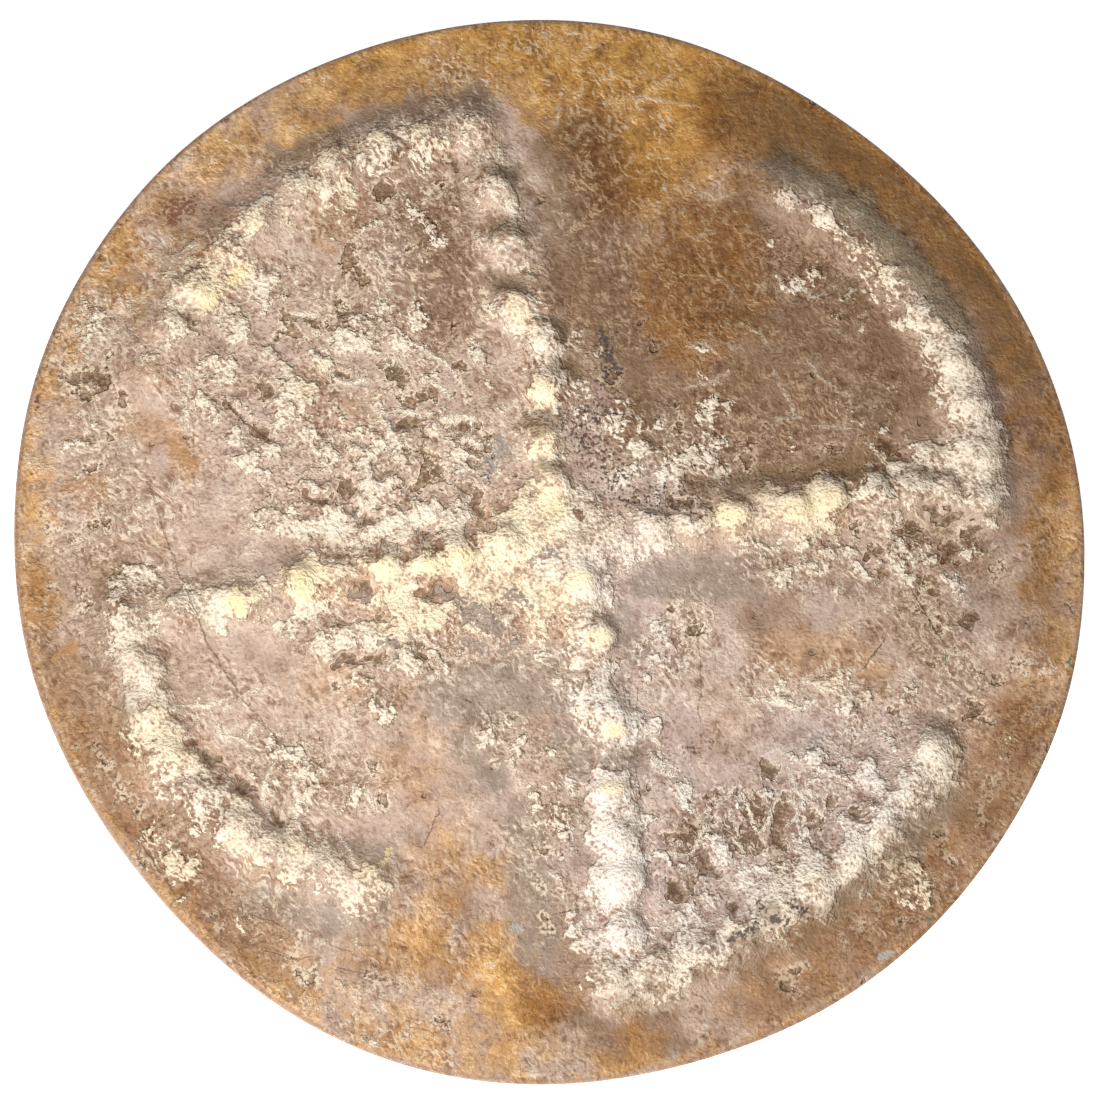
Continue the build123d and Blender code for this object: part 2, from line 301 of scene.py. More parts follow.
# Grey, even skin
grey_strokes = [
    (1.0, 1.7, [(-4.6, -6.7), (-2.5, -6.5), (-0.8, -6.2)]),
    (1.0, 1.2, [(-0.2, -5.4), (0.2, -6.8)]),
    (1.0, 1.0, [(0.3, -8.6), (0.7, -9.5)]),
    (1.0, 1.0, [(2.2, -9.4), (3.0, -9.4)]),
    (0.9, 1.0, [(2.6, -3.5), (3.3, -4.6)]),
    (0.9, 1.4, [(4.0, -1.7), (6.0, -1.7), (7.8, -1.7)]),
    (0.8, 0.9, [(-1.8, -11.8), (-1.6, -12.2)]),
    (0.8, 1.0, [(-3.3, 2.9), (-2.5, 3.7)]),
    (0.8, 0.7, [(-0.7, -0.9), (-0.3, -0.7)]),
    (0.7, 0.8, [(-5.4, -2.7), (-4.6, -3.0)]),
    (0.8, 0.8, [(-2.4, -3.3), (-1.5, -2.7)]),
    (0.8, 1.3, [(3.8, 3.6), (5.6, 4.2)]),
    (0.7, 1.0, [(7.0, 2.6), (7.6, 2.8)]),
    (0.6, 1.2, [(-3.4, 18.8), (-6.0, 18.2), (-9.4, 17.0), (-12.0, 15.4)]),
    (0.75, 1.9, [(9.8, 16.1), (12.2, 14.8), (14.6, 12.4), (16.4, 9.8)]),
    (0.9, 1.1, [(17.6, 8.4), (18.4, 6.0), (18.6, 2.0)]),
    (0.8, 1.1, [(-12.4, -15.3), (-9.6, -16.0), (-7.2, -15.6)]),
    (0.5, 1.2, [(-19.2, -4.0), (-19.0, -7.0)]),
    (0.8, 1.2, [(15.8, -10.6), (14.6, -12.4)]),
    (0.8, 1.2, [(-3.6, -8.8), (-2.6, -10.0)]),
    (0.9, 1.1, [(-1.7, -11.4), (-1.2, -12.5)]),
    (0.8, 1.7, [(-1.2, -14.5), (-0.9, -17.0)]),
]

# Skin that comes away in flakes and ledges
flaky_strokes = [
    (1.0, 4.2, [(-11.5, 7.0), (-6.5, 6.0), (-5.0, 1.8), (-10.0, 1.8)]),
    (0.5, 2.2, [(-19.6, -9.4), (-16.8, -13.4), (-13.4, -17.0), (-10.0, -19.0), (-6.0, -20.2)]),
    (0.8, 2.6, [(-8.0, 12.6), (-5.4, 13.6)]),
    (0.8, 2.4, [(-15.2, 7.0), (-13.0, 3.4)]),
    (1.0, 1.8, [(-10.0, -4.2), (-4.8, -4.4)]),
    (0.7, 1.4, [(-8.6, -6.0), (-7.4, -7.6)]),
    (0.6, 1.8, [(-12.0, -9.4), (-8.0, -10.8)]),
    (0.5, 2.2, [(2.2, 6.4), (3.0, 2.6), (5.6, 2.4)]),
    (0.8, 1.8, [(4.4, 4.6), (8.6, 4.0), (11.0, 3.6)]),
    (0.9, 1.8, [(11.5, 0.3), (15.0, -0.6), (17.6, -0.4)]),
    (0.7, 1.8, [(9.4, 12.4), (12.6, 10.6)]),
    (0.6, 1.8, [(13.0, 6.6), (14.0, 4.0)]),
    (1.0, 2.6, [(5.0, -13.6), (8.4, -12.0), (11.6, -10.8)]),
    (0.8, 2.0, [(12.6, -8.4), (14.6, -7.2)]),
    (0.8, 1.4, [(3.4, -5.6), (4.8, -4.4), (5.4, -3.6)]),
    (0.7, 1.4, [(3.8, -8.2), (4.6, -10.4)]),
    (0.8, 1.4, [(-2.4, -8.6), (-1.2, -9.4)]),
    (0.8, 1.4, [(-0.4, -10.6), (-0.2, -15.6)]),
    (0.5, 1.8, [(15.4, -2.4), (17.4, -6.8)]),
    (0.6, 1.4, [(8.2, -0.9), (10.6, -1.6)]),
    (0.6, 1.6, [(-16.6, -12.4), (-14.6, -15.2), (-11.4, -16.6)]),
    (0.55, 2.6, [(-19.6, 9.0), (-19.4, 2.0), (-19.8, -3.0)]),
    (0.4, 2.2, [(19.8, -5.6), (18.6, -10.0), (15.4, -14.6), (10.0, -18.4)]),
    (0.35, 4.5, [(5.0, 9.0), (9.0, 8.0), (12.0, 7.0)]),
]

# Darker, browner skin
umber_strokes = [
    (1.0, 7.5, [(5.0, 9.4), (9.0, 10.0), (13.0, 8.4)]),
    (0.4, 3.4, [(2.4, 13.0), (8.0, 15.0), (14.0, 14.0)]),
    (1.25, 2.8, [(8.0, 18.4), (11.2, 18.6), (15.2, 15.6)]),
    (0.9, 2.8, [(3.4, 6.4), (6.0, 5.6), (9.6, 4.4), (12.6, 3.6)]),
    (0.5, 2.0, [(14.6, -0.4), (18.0, -0.4)]),
    (0.4, 2.0, [(-7.4, 18.6), (-3.4, 18.8)]),
    (0.75, 3.0, [(-21.0, -6.0), (-18.6, -11.5), (-15.0, -15.6), (-13.0, -17.0)]),
    (0.5, 1.6, [(0.2, -8.6), (0.2, -12.6)]),
    (0.35, 2.4, [(-7.0, -6.6), (-4.6, -9.4)]),
    (0.9, 1.8, [(0.2, -16.6), (-0.2, -19.2)]),
    (0.5, 2.2, [(-4.4, -14.4), (-1.6, -15.2)]),
    (0.6, 2.6, [(-6.0, 15.0), (-5.4, 12.0), (-4.6, 9.6)]),
    (0.25, 2.0, [(-4.2, 7.6), (-3.4, 6.0)]),
    (0.6, 2.0, [(8.6, -2.8), (10.0, -3.4)]),
    (0.5, 2.4, [(15.0, -2.4), (18.4, -1.6), (18.6, 0.6)]),
    (0.65, 2.4, [(-21.0, -2.6), (-17.6, -3.6)]),
    (0.45, 1.6, [(-2.4, -6.2), (0.4, -6.4)]),
    (0.45, 1.8, [(5.6, -8.6), (6.6, -9.4)]),
    (0.8, 1.8, [(-15.6, -12.0), (-14.4, -12.0)]),
    (0.4, 1.6, [(-15.4, -6.2), (-14.6, -5.8)]),
    (0.55, 1.7, [(-9.8, -15.2), (-8.4, -15.2)]),
    (0.55, 1.8, [(-6.8, -18.2), (-5.2, -17.8)]),
    (0.9, 1.7, [(2.4, -21.0), (4.0, -20.8)]),
    (1.2, 2.0, [(2.6, 10.0), (3.2, 8.4)]),
    (0.4, 1.8, [(2.4, 3.6), (3.8, 2.8)]),
    (1.3, 2.0, [(5.0, 6.8), (7.0, 6.6)]),
    (0.7, 1.8, [(-0.4, -8.0), (0.4, -9.4)]),
    (0.35, 2.0, [(-13.0, -14.8), (-8.6, -14.8)]),
    (0.35, 1.6, [(-18.4, 6.4), (-17.6, 5.4)]),
    (0.95, 2.4, [(1.2, 17.0), (2.6, 13.0), (3.4, 9.0)]),
    (1.3, 1.6, [(8.2, 15.0), (9.6, 14.0), (11.2, 12.8)]),
    (0.25, 1.8, [(-16.4, -1.6), (-14.8, -1.0)]),
    (0.9, 3.4, [(3.6, 5.6), (6.0, 5.4), (12.0, 5.4)]),
    (0.3, 1.6, [(0.8, 4.8), (1.8, 3.2), (2.8, 2.6)]),
    (0.9, 3.2, [(18.8, 11.0), (20.6, 4.0)]),
    (0.5, 1.6, [(17.6, 0.4), (18.6, -0.6)]),
    (1.2, 2.4, [(14.8, 16.2), (18.2, 12.4), (20.2, 8.6), (21.0, 5.0)]),
    (0.55, 2.4, [(20.6, 4.0), (20.4, 1.0), (20.4, -3.0)]),
    (0.35, 3.4, [(18.4, -8.0), (15.4, -14.0), (8.0, -19.0), (2.0, -21.0)]),
    (0.6, 1.6, [(-16.2, 13.6), (-14.4, 13.2)]),
    (0.5, 1.8, [(-9.0, 13.2), (-7.4, 14.8)]),
    (0.6, 2.6, [(-18.6, -9.6), (-16.6, -12.6), (-13.8, -15.4)]),
    (0.8, 2.8, [(9.0, -18.8), (14.4, -16.0), (18.2, -11.6), (20.0, -8.0)]),
    (0.5, 1.8, [(7.6, -10.6), (9.2, -11.4)]),
    (0.5, 1.4, [(5.0, -11.6), (5.4, -14.8)]),
    (0.4, 1.8, [(-10.0, -16.8), (-7.0, -17.6)]),
]

# Warm casts
warm_strokes = [
    (0.4, 2.0, LEFT_HOOK),
    (0.4, 1.8, TOP_HOOK),
    (0.9, 3.2, [(-20.6, -8.0), (-18.4, -12.4), (-15.4, -16.0), (-11.6, -18.8)]),
    (0.9, 3.2, [(9.0, -18.6), (14.0, -15.6), (17.6, -11.6), (20.0, -7.0)]),
    (0.5, 2.4, [(-16.6, -12.8), (-13.0, -16.0)]),
    (0.9, 1.0, [(-16.1, 3.6), (-15.6, 2.6)]),
    (0.7, 1.0, [(-19.4, 1.4), (-19.2, 1.0)]),
    (0.7, 1.2, [(-17.4, 4.0), (-16.6, 3.8)]),
    (0.8, 1.4, [(-9.6, 13.0), (-8.6, 13.4)]),
    (0.8, 1.6, [(9.0, -4.6), (11.4, -4.8), (13.0, -5.6)]),
    (0.6, 1.2, [(6.8, -6.8), (7.2, -7.4)]),
    (0.6, 1.6, [(-10.0, 5.8), (-8.6, 5.2)]),
    (0.6, 2.4, [(-6.0, -9.6), (-5.4, -12.6)]),
    (0.7, 1.8, [(20.0, -7.0), (21.0, -5.0)]),
    (0.9, 2.2, [(-1.0, 0.6), (-3.0, -1.4), (-1.0, -3.0)]),
    (0.9, 2.4, [(-4.0, -2.6), (-7.0, -2.8)]),
    (0.7, 1.4, [(-5.0, -1.6), (-10.8, -2.4)]),
    (0.6, 1.6, [(7.2, 0.9), (11.4, 1.6)]),
    (0.5, 1.8, [(-12.0, -4.0), (-9.6, -6.0)]),
]

# Cool casts
cool_strokes = [
    (0.9, 5.0, [(5.0, -14.4), (9.0, -11.0), (12.0, -10.6)]),
    (0.8, 2.6, [(2.0, -7.0), (2.4, -16.0)]),
    (0.6, 3.0, [(3.0, -2.0), (6.0, -6.0), (4.0, -9.0)]),
    (0.5, 1.6, [(1.4, 6.0), (2.0, 3.6), (3.4, 2.0)]),
    (0.6, 2.0, [(3.2, 10.0), (3.0, 8.6)]),
    (0.4, 1.6, [(-15.6, -12.0), (-14.4, -12.0)]),
]

# Dirt, and painted shade beside the crests, on flanks turned from the light and in the hollows
dirt_and_shade_strokes = [
    (0.9, 0.3, [(8.3, -15.3), (9.0, -15.9)]),
    (0.9, 0.4, [(10.0, -15.6), (10.3, -15.5)]),
    (0.9, 0.4, [(7.0, -16.9), (7.8, -16.6)]),
    (0.8, 0.4, [(3.6, -18.6), (3.8, -18.6)]),
    (0.8, 0.4, [(5.6, -18.2), (5.9, -18.1)]),
    (0.9, 0.5, [(-0.9, 3.0), (-0.1, 2.8)]),
    (1.0, 0.6, [(-1.4, 4.8), (0.0, 4.7)]),
    (0.9, 0.7, [(-0.4, 7.2), (0.6, 7.0)]),
    (1.0, 0.6, [(-2.8, 10.9), (-1.3, 10.8)]),
    (1.0, 0.6, [(-2.9, 13.2), (-1.4, 13.1)]),
    (0.8, 0.7, [(-3.6, 15.7), (-2.2, 15.6)]),
    (0.4, 1.2, [(-1.8, 18.4), (-4.4, 19.0), (-7.6, 18.4), (-10.6, 16.8)]),
    (0.5, 1.0, [(-14.6, 13.6), (-16.8, 10.6), (-17.8, 8.0)]),
    (0.7, 1.5, [(-0.4, 17.0), (0.2, 13.0), (1.4, 9.8), (2.6, 7.4)]),
    (0.9, 1.0, [(3.0, 7.4), (3.4, 5.6)]),
    (0.35, 1.7, [(9.8, 16.1), (12.4, 14.8), (14.8, 12.4), (16.8, 9.8), (18.4, 7.0), (19.2, 3.6)]),
    (0.7, 2.6, [(8.6, 18.8), (12.4, 17.4), (15.6, 15.0), (18.4, 11.6), (20.0, 8.4)]),
    (0.55, 1.7, [(8.2, 16.0), (9.2, 14.4)]),
    (0.6, 0.9, [(16.0, 4.4), (15.4, 7.0), (13.8, 9.4), (11.6, 11.8)]),
    (0.4, 0.5, [(-14.8, -9.1), (-13.8, -10.2), (-12.7, -11.4)]),
    (0.6, 0.8, [(-18.6, -6.0), (-17.8, -8.6)]),
    (0.7, 1.1, [(7.4, -17.7), (10.6, -16.2), (13.4, -13.9), (16.4, -11.0)]),
    (0.6, 1.2, [(1.0, -20.0), (4.4, -19.4)]),
    (0.5, 0.6, [(-12.2, -1.2), (-10.6, -0.7), (-8.4, -0.7)]),
    (0.6, 0.7, [(0.9, -10.0), (0.8, -14.0)]),
    (0.5, 0.5, [(1.4, -9.5), (3.2, -9.3)]),
    (0.55, 2.8, [(8.6, 6.4), (8.8, 8.8), (12.2, 8.6), (13.6, 6.4)]),
    (0.5, 1.2, [(0.2, 10.4), (0.6, 8.4)]),
    (0.8, 0.9, [(5.6, 2.3), (8.0, 2.6), (10.6, 3.1), (13.0, 3.6)]),
]

# Skin crossed by tufts of fine pale threads
thready_strokes = [
    (0.8, 2.2, [(1.2, 17.0), (1.4, 12.0), (2.0, 8.6)]),
    (0.35, 2.2, [(4.4, 15.4), (8.0, 12.8)]),
    (0.5, 3.0, [(6.0, 11.0), (12.0, 9.0)]),
    (0.6, 2.6, [(7.0, 5.6), (13.0, 6.0)]),
    (0.5, 1.6, [(8.4, -0.8), (12.6, -1.4)]),
    (0.9, 2.4, [(-6.4, 15.0), (-4.6, 9.6)]),
    (0.6, 2.4, [(-8.6, 10.0), (-6.0, 12.0)]),
    (0.7, 2.0, [(3.4, 5.4), (6.0, 3.4), (9.0, 4.4)]),
    (0.6, 2.0, [(15.0, -2.0), (17.0, -6.0)]),
    (0.6, 1.6, [(-12.0, -9.6), (-9.0, -10.6)]),
    (0.7, 2.0, [(6.0, -12.0), (10.0, -11.6)]),
    (0.5, 2.0, [(-19.0, 4.0), (-18.0, -1.0)]),
]

# A yellow tint on the crust, mostly on the tops of bosses: rubbed crust with a painted sheen of highlight
wear_and_sheen_strokes = [
    (1.0, 0.8, [(-0.9, 2.3), (-0.3, 1.1)]),
    (1.0, 0.8, [(-1.6, 3.9), (-0.7, 3.8)]),
    (0.9, 0.9, [(-1.5, 6.4), (-0.8, 5.8)]),
    (0.7, 0.8, [(-2.0, 9.8), (-1.8, 9.4)]),
    (1.0, 0.9, [(-13.3, -3.3), (-13.0, -3.1)]),
    (1.1, 1.2, [(-11.2, -2.4), (-10.6, -2.2)]),
    (0.8, 0.7, [(-7.9, -1.9), (-7.4, -1.8)]),
    (0.9, 0.7, [(-5.8, -1.5), (-5.3, -1.4)]),
    (0.8, 0.7, [(-4.4, -1.1), (-4.0, -1.0)]),
    (0.9, 0.8, [(6.9, 0.9), (7.4, 0.9)]),
    (0.7, 0.7, [(9.8, 1.2), (11.6, 1.8)]),
    (0.8, 0.6, [(2.0, -8.2), (2.3, -8.2)]),
    (0.7, 0.6, [(2.0, -10.6), (2.4, -10.5)]),
    (0.9, 0.6, [(0.6, -2.0), (1.0, -1.9)]),
    (0.8, 0.6, [(1.4, -4.5), (1.8, -4.3)]),
    (0.7, 0.9, [(-14.8, 9.4), (-13.4, 10.8)]),
    (0.6, 0.8, [(-8.0, -14.2), (-7.0, -13.6)]),
    (0.6, 2.4, [(-2.0, 20.6), (-6.6, 20.8)]),
]

# Fine lines: above 0 pale and raised like a thread, below 0 dark and cut in like a scratch
fine_lines = [
    (-0.6, [(-17.0, 1.4), (-15.7, -2.0), (-14.6, -4.8), (-13.2, -7.1), (-12.6, -7.7),
        (-11.1, -9.3), (-9.5, -10.0)]),
    (-0.5, [(3.3, -6.4), (3.2, -8.4), (3.3, -10.4)]),
    (-0.5, [(5.9, -4.0), (5.9, -7.5)]),
    (-0.8, [(13.8, -4.0), (12.9, -5.2)]),
    (-0.6, [(-5.0, -11.7), (-5.6, -13.0)]),
    (-0.6, [(-19.0, -7.1), (-18.0, -7.8)]),
    (-0.6, [(15.0, -2.0), (15.7, -3.0), (16.2, -3.9)]),
    (-0.8, [(-14.0, 5.4), (-13.2, 4.4), (-12.0, 3.6)]),
    (-0.5, [(9.2, -16.8), (10.0, -15.6)]),
    (0.9, [(-9.9, 7.0), (-9.4, 6.3), (-8.9, 6.1), (-8.2, 6.4)]),
    (0.7, [(-15.4, 6.3), (-15.6, 5.3), (-15.5, 4.2)]),
    (0.8, [(-8.4, -10.7), (-7.9, -11.0), (-7.5, -11.6)]),
    (0.8, [(-11.0, -9.4), (-10.3, -9.8), (-10.5, -10.4)]),
    (0.8, [(-10.9, -10.8), (-10.7, -11.4), (-10.7, -12.2)]),
    (0.8, [(-10.7, -11.4), (-10.3, -11.0)]),
    (0.8, [(-14.0, -8.3), (-13.8, -8.7), (-13.2, -8.8), (-12.8, -9.1)]),
    (0.7, [(-12.5, -8.1), (-12.8, -8.7)]),
    (0.4, [(9.2, 7.3), (10.1, 5.5)]),
    (0.4, [(5.4, 6.5), (6.2, 6.7), (7.2, 7.2)]),
    (0.4, [(5.6, 8.4), (6.2, 8.6), (6.7, 8.1)]),
    (0.3, [(6.9, 11.2), (7.4, 10.9), (7.3, 10.5)]),
    (0.3, [(5.4, 13.3), (5.9, 13.0), (6.1, 13.3)]),
    (0.3, [(5.4, 15.6), (6.0, 15.2), (6.7, 15.1)]),
    (0.5, [(9.5, 11.4), (9.8, 10.9), (10.4, 11.1), (10.9, 10.6), (11.4, 10.8)]),
    (0.4, [(10.7, 7.8), (11.0, 7.2), (11.6, 6.9)]),
    (0.3, [(12.0, 7.6), (12.6, 7.3), (12.8, 6.7)]),
    (0.35, [(8.0, 9.3), (8.7, 9.0), (8.9, 8.5)]),
    (0.3, [(11.4, 9.3), (12.0, 9.3), (12.3, 8.9)]),
    (0.4, [(9.2, 5.3), (10.3, 5.4)]),
    (0.4, [(11.0, 5.0), (12.4, 5.0)]),
    (0.35, [(2.0, 18.8), (3.6, 19.2), (5.8, 18.9)]),
    (0.35, [(5.5, 15.2), (6.6, 14.8), (7.4, 15.1)]),
    (0.7, [(-4.6, 4.9), (-4.2, 5.0), (-3.6, 5.0)]),
    (0.7, [(-7.4, 7.3), (-6.8, 7.3), (-6.6, 7.0)]),
    (0.6, [(-15.8, -7.6), (-14.4, -7.5), (-13.0, -7.1), (-12.4, -6.8)]),
    (-0.5, [(-17.6, -12.6), (-17.0, -13.3), (-16.2, -14.4), (-15.7, -15.0)]),
    (-0.5, [(-12.6, -15.9), (-11.8, -16.1), (-11.0, -16.6)]),
    (-0.5, [(-11.9, -17.4), (-11.0, -17.7), (-10.2, -17.6)]),
    (-0.5, [(-10.0, -16.4), (-9.6, -17.0), (-8.8, -17.3)]),
    (-0.5, [(-9.0, -18.0), (-8.0, -18.3), (-7.2, -18.1)]),
    (-0.5, [(-13.4, -17.8), (-12.4, -18.4), (-11.4, -18.6)]),
    (-0.5, [(12.2, -17.0), (12.8, -16.2), (13.5, -15.6), (14.2, -15.4), (14.8, -14.9)]),
    (-0.5, [(-20.0, 8.2), (-19.0, 8.6), (-18.2, 8.4), (-17.4, 7.4)]),
    (-0.5, [(-20.0, 6.0), (-19.5, 5.6), (-19.1, 5.9), (-18.8, 6.4)]),
    (0.9, [(-9.2, 8.2), (-9.15, 7.8), (-8.6, 7.7), (-8.3, 8.0), (-8.1, 8.1)]),
    (0.9, [(-7.5, 6.8), (-7.1, 7.1), (-6.6, 6.9)]),
    (0.9, [(-5.9, 7.9), (-5.3, 7.4), (-4.8, 7.3), (-4.5, 7.0), (-4.4, 6.7)]),
    (0.9, [(-5.3, 6.3), (-4.9, 6.1), (-4.6, 5.8)]),
    (1.0, [(-7.0, 5.0), (-6.6, 5.1), (-6.2, 5.0), (-5.9, 4.9)]),
    (1.0, [(-4.8, 4.8), (-4.4, 4.7), (-3.8, 4.9), (-3.7, 4.5)]),
    (1.0, [(-4.1, 3.9), (-3.8, 4.0), (-3.5, 3.8)]),
    (0.8, [(-7.1, 4.3), (-7.2, 3.9), (-7.3, 3.4)]),
    (0.8, [(-8.0, 5.3), (-7.6, 5.0), (-7.3, 4.9)]),
    (0.8, [(-11.1, 9.0), (-10.8, 9.1), (-10.2, 9.0)]),
    (0.8, [(-8.4, 1.3), (-8.2, 0.9), (-8.4, 0.6)]),
    (0.8, [(-3.7, 1.7), (-3.9, 1.2), (-3.6, 0.8)]),
    (0.9, [(3.6, -8.1), (4.0, -8.6), (4.2, -9.2)]),
    (0.9, [(4.1, -9.5), (4.7, -9.6)]),
    (0.9, [(4.2, -9.9), (4.7, -10.0)]),
    (1.0, [(4.8, -10.3), (5.2, -10.8), (5.5, -10.6), (5.3, -10.2)]),
    (1.0, [(7.6, -10.7), (7.9, -11.2), (8.0, -11.7), (8.3, -12.2), (8.6, -12.0), (8.9, -11.4),
        (9.1, -10.8)]),
    (0.8, [(9.6, -10.9), (9.9, -11.3), (10.0, -12.0)]),
    (0.9, [(8.1, -6.7), (9.0, -6.8), (10.4, -7.0)]),
    (0.8, [(6.1, -12.0), (5.8, -12.6), (5.4, -13.2), (4.6, -13.2)]),
    (0.8, [(7.3, -12.6), (7.6, -13.0), (7.6, -13.4)]),
    (0.7, [(9.6, -9.6), (9.8, -10.4), (10.6, -11.0)]),
    (0.8, [(-10.6, -11.3), (-10.8, -12.0), (-10.5, -12.9), (-9.8, -13.3)]),
    (0.7, [(-11.8, -10.0), (-12.1, -10.6), (-12.2, -11.4), (-11.9, -12.0)]),
    (0.7, [(-9.0, -12.8), (-8.7, -13.4), (-8.4, -14.0)]),
]

# Bosses with a pale ring of crust, a painted highlight round the dome, and less crust in the
# middle: x, y and the ring's radius and half width
highlight_rings = [
    (-17.0, -7.7, 0.65, 0.32), (-16.6, -9.0, 0.3, 0.16), (0.8, -1.8, 0.46, 0.2),
    (2.7, -16.5, 0.65, 0.3), (2.7, -16.5, 0.2, 0.14),
]

# Pits where the skin has come away: x, y, half length and half width in mm, and the angle
# of the long way in degrees
pits = [
    (-9.0, 1.8, 0.8, 0.36, 85), (-10.1, 1.15, 0.7, 0.2, 8), (-7.5, 2.4, 0.35, 0.22, 30),
    (-5.4, 2.8, 0.7, 0.5, 100), (-6.2, 1.5, 0.4, 0.22, 0), (-3.5, 1.2, 1.0, 0.46, -66),
    (-4.3, 1.9, 0.55, 0.14, -35), (-7.0, 6.8, 0.48, 0.4, 0), (-4.2, 7.0, 0.55, 0.38, 10),
    (-5.4, 6.0, 0.5, 0.3, 80), (-6.6, 4.6, 0.45, 0.35, 0), (-5.6, 4.4, 0.6, 0.16, -60),
    (-4.5, 4.4, 0.5, 0.24, -50), (-3.9, 4.5, 0.4, 0.24, 50), (-3.7, 3.6, 0.4, 0.24, 10),
    (-13.6, 4.8, 0.9, 0.22, -50), (-12.4, 3.9, 0.9, 0.2, -30), (-12.4, 5.6, 0.5, 0.4, 60),
    (-9.9, 4.1, 0.4, 0.18, 50), (-7.4, 0.5, 0.25, 0.18, 0), (-8.3, 0.6, 0.3, 0.22, 0),
    (-8.2, -2.6, 0.6, 0.3, 20), (-5.1, -2.5, 0.6, 0.36, 10), (-10.4, 8.8, 0.4, 0.16, 10),
    (-9.2, 9.4, 0.4, 0.3, 0), (-7.4, 14.7, 0.5, 0.3, 40), (-4.6, 15.8, 0.6, 0.24, -40),
    (14.0, 4.3, 0.8, 0.26, -30), (5.6, -3.8, 0.34, 0.32, 0), (9.3, -11.2, 0.65, 0.5, 60),
    (8.3, -10.9, 0.5, 0.35, -60), (10.4, -11.6, 0.5, 0.36, 0), (8.9, -9.6, 0.42, 0.34, 60),
    (7.2, -15.6, 0.5, 0.32, -30), (4.8, -14.8, 0.6, 0.4, 60), (5.2, -13.2, 0.5, 0.25, 60),
    (7.9, -12.5, 1.0, 0.3, -55), (6.4, -14.0, 0.6, 0.3, 20), (12.4, -11.5, 0.38, 0.28, 0),
    (17.4, -3.2, 0.36, 0.26, 30), (15.9, -3.2, 0.9, 0.16, -60), (15.6, -4.9, 0.34, 0.14, 0),
    (16.5, -7.3, 0.34, 0.3, 0), (17.5, -6.8, 0.4, 0.18, 70), (-11.7, -12.2, 0.38, 0.36, 0),
    (-19.4, 6.0, 0.7, 0.3, -20), (-12.9, -10.8, 0.9, 0.22, -45), (-14.4, -9.5, 0.7, 0.22, -40),
    (4.8, 1.6, 0.5, 0.3, 40), (5.5, 1.2, 0.3, 0.4, 0), (3.2, 1.4, 0.36, 0.24, -40),
    (15.8, 1.5, 0.34, 0.26, 0), (16.6, 1.2, 0.6, 0.4, 0), (17.6, 0.8, 0.5, 0.4, 0),
    (-7.8, -5.4, 0.7, 0.26, 10), (-5.7, -5.2, 0.6, 0.24, -50), (-8.9, -5.5, 0.6, 0.28, 10),
    (8.1, -11.4, 1.1, 0.3, -62), (7.0, -12.3, 0.9, 0.26, -50), (6.0, -13.4, 0.9, 0.3, -55),
    (9.0, -12.6, 0.5, 0.22, -70), (5.6, -12.3, 0.6, 0.2, 60), (-5.1, 5.9, 0.5, 0.2, -10),
    (-9.1, 6.5, 0.4, 0.14, -20), (-5.4, -0.1, 0.35, 0.2, 20), (16.6, -0.2, 0.6, 0.4, 60),
    (13.2, -0.3, 0.5, 0.34, 40), (13.5, -1.2, 0.5, 0.24, -30), (15.6, -2.0, 0.6, 0.2, 60),
    (14.9, 0.7, 0.4, 0.24, 20), (17.2, -3.0, 0.3, 0.26, 0), (-6.8, -4.9, 0.3, 0.2, 0),
    (-7.4, -3.6, 0.36, 0.2, -20), (-15.3, 8.6, 0.3, 0.24, 0),
]
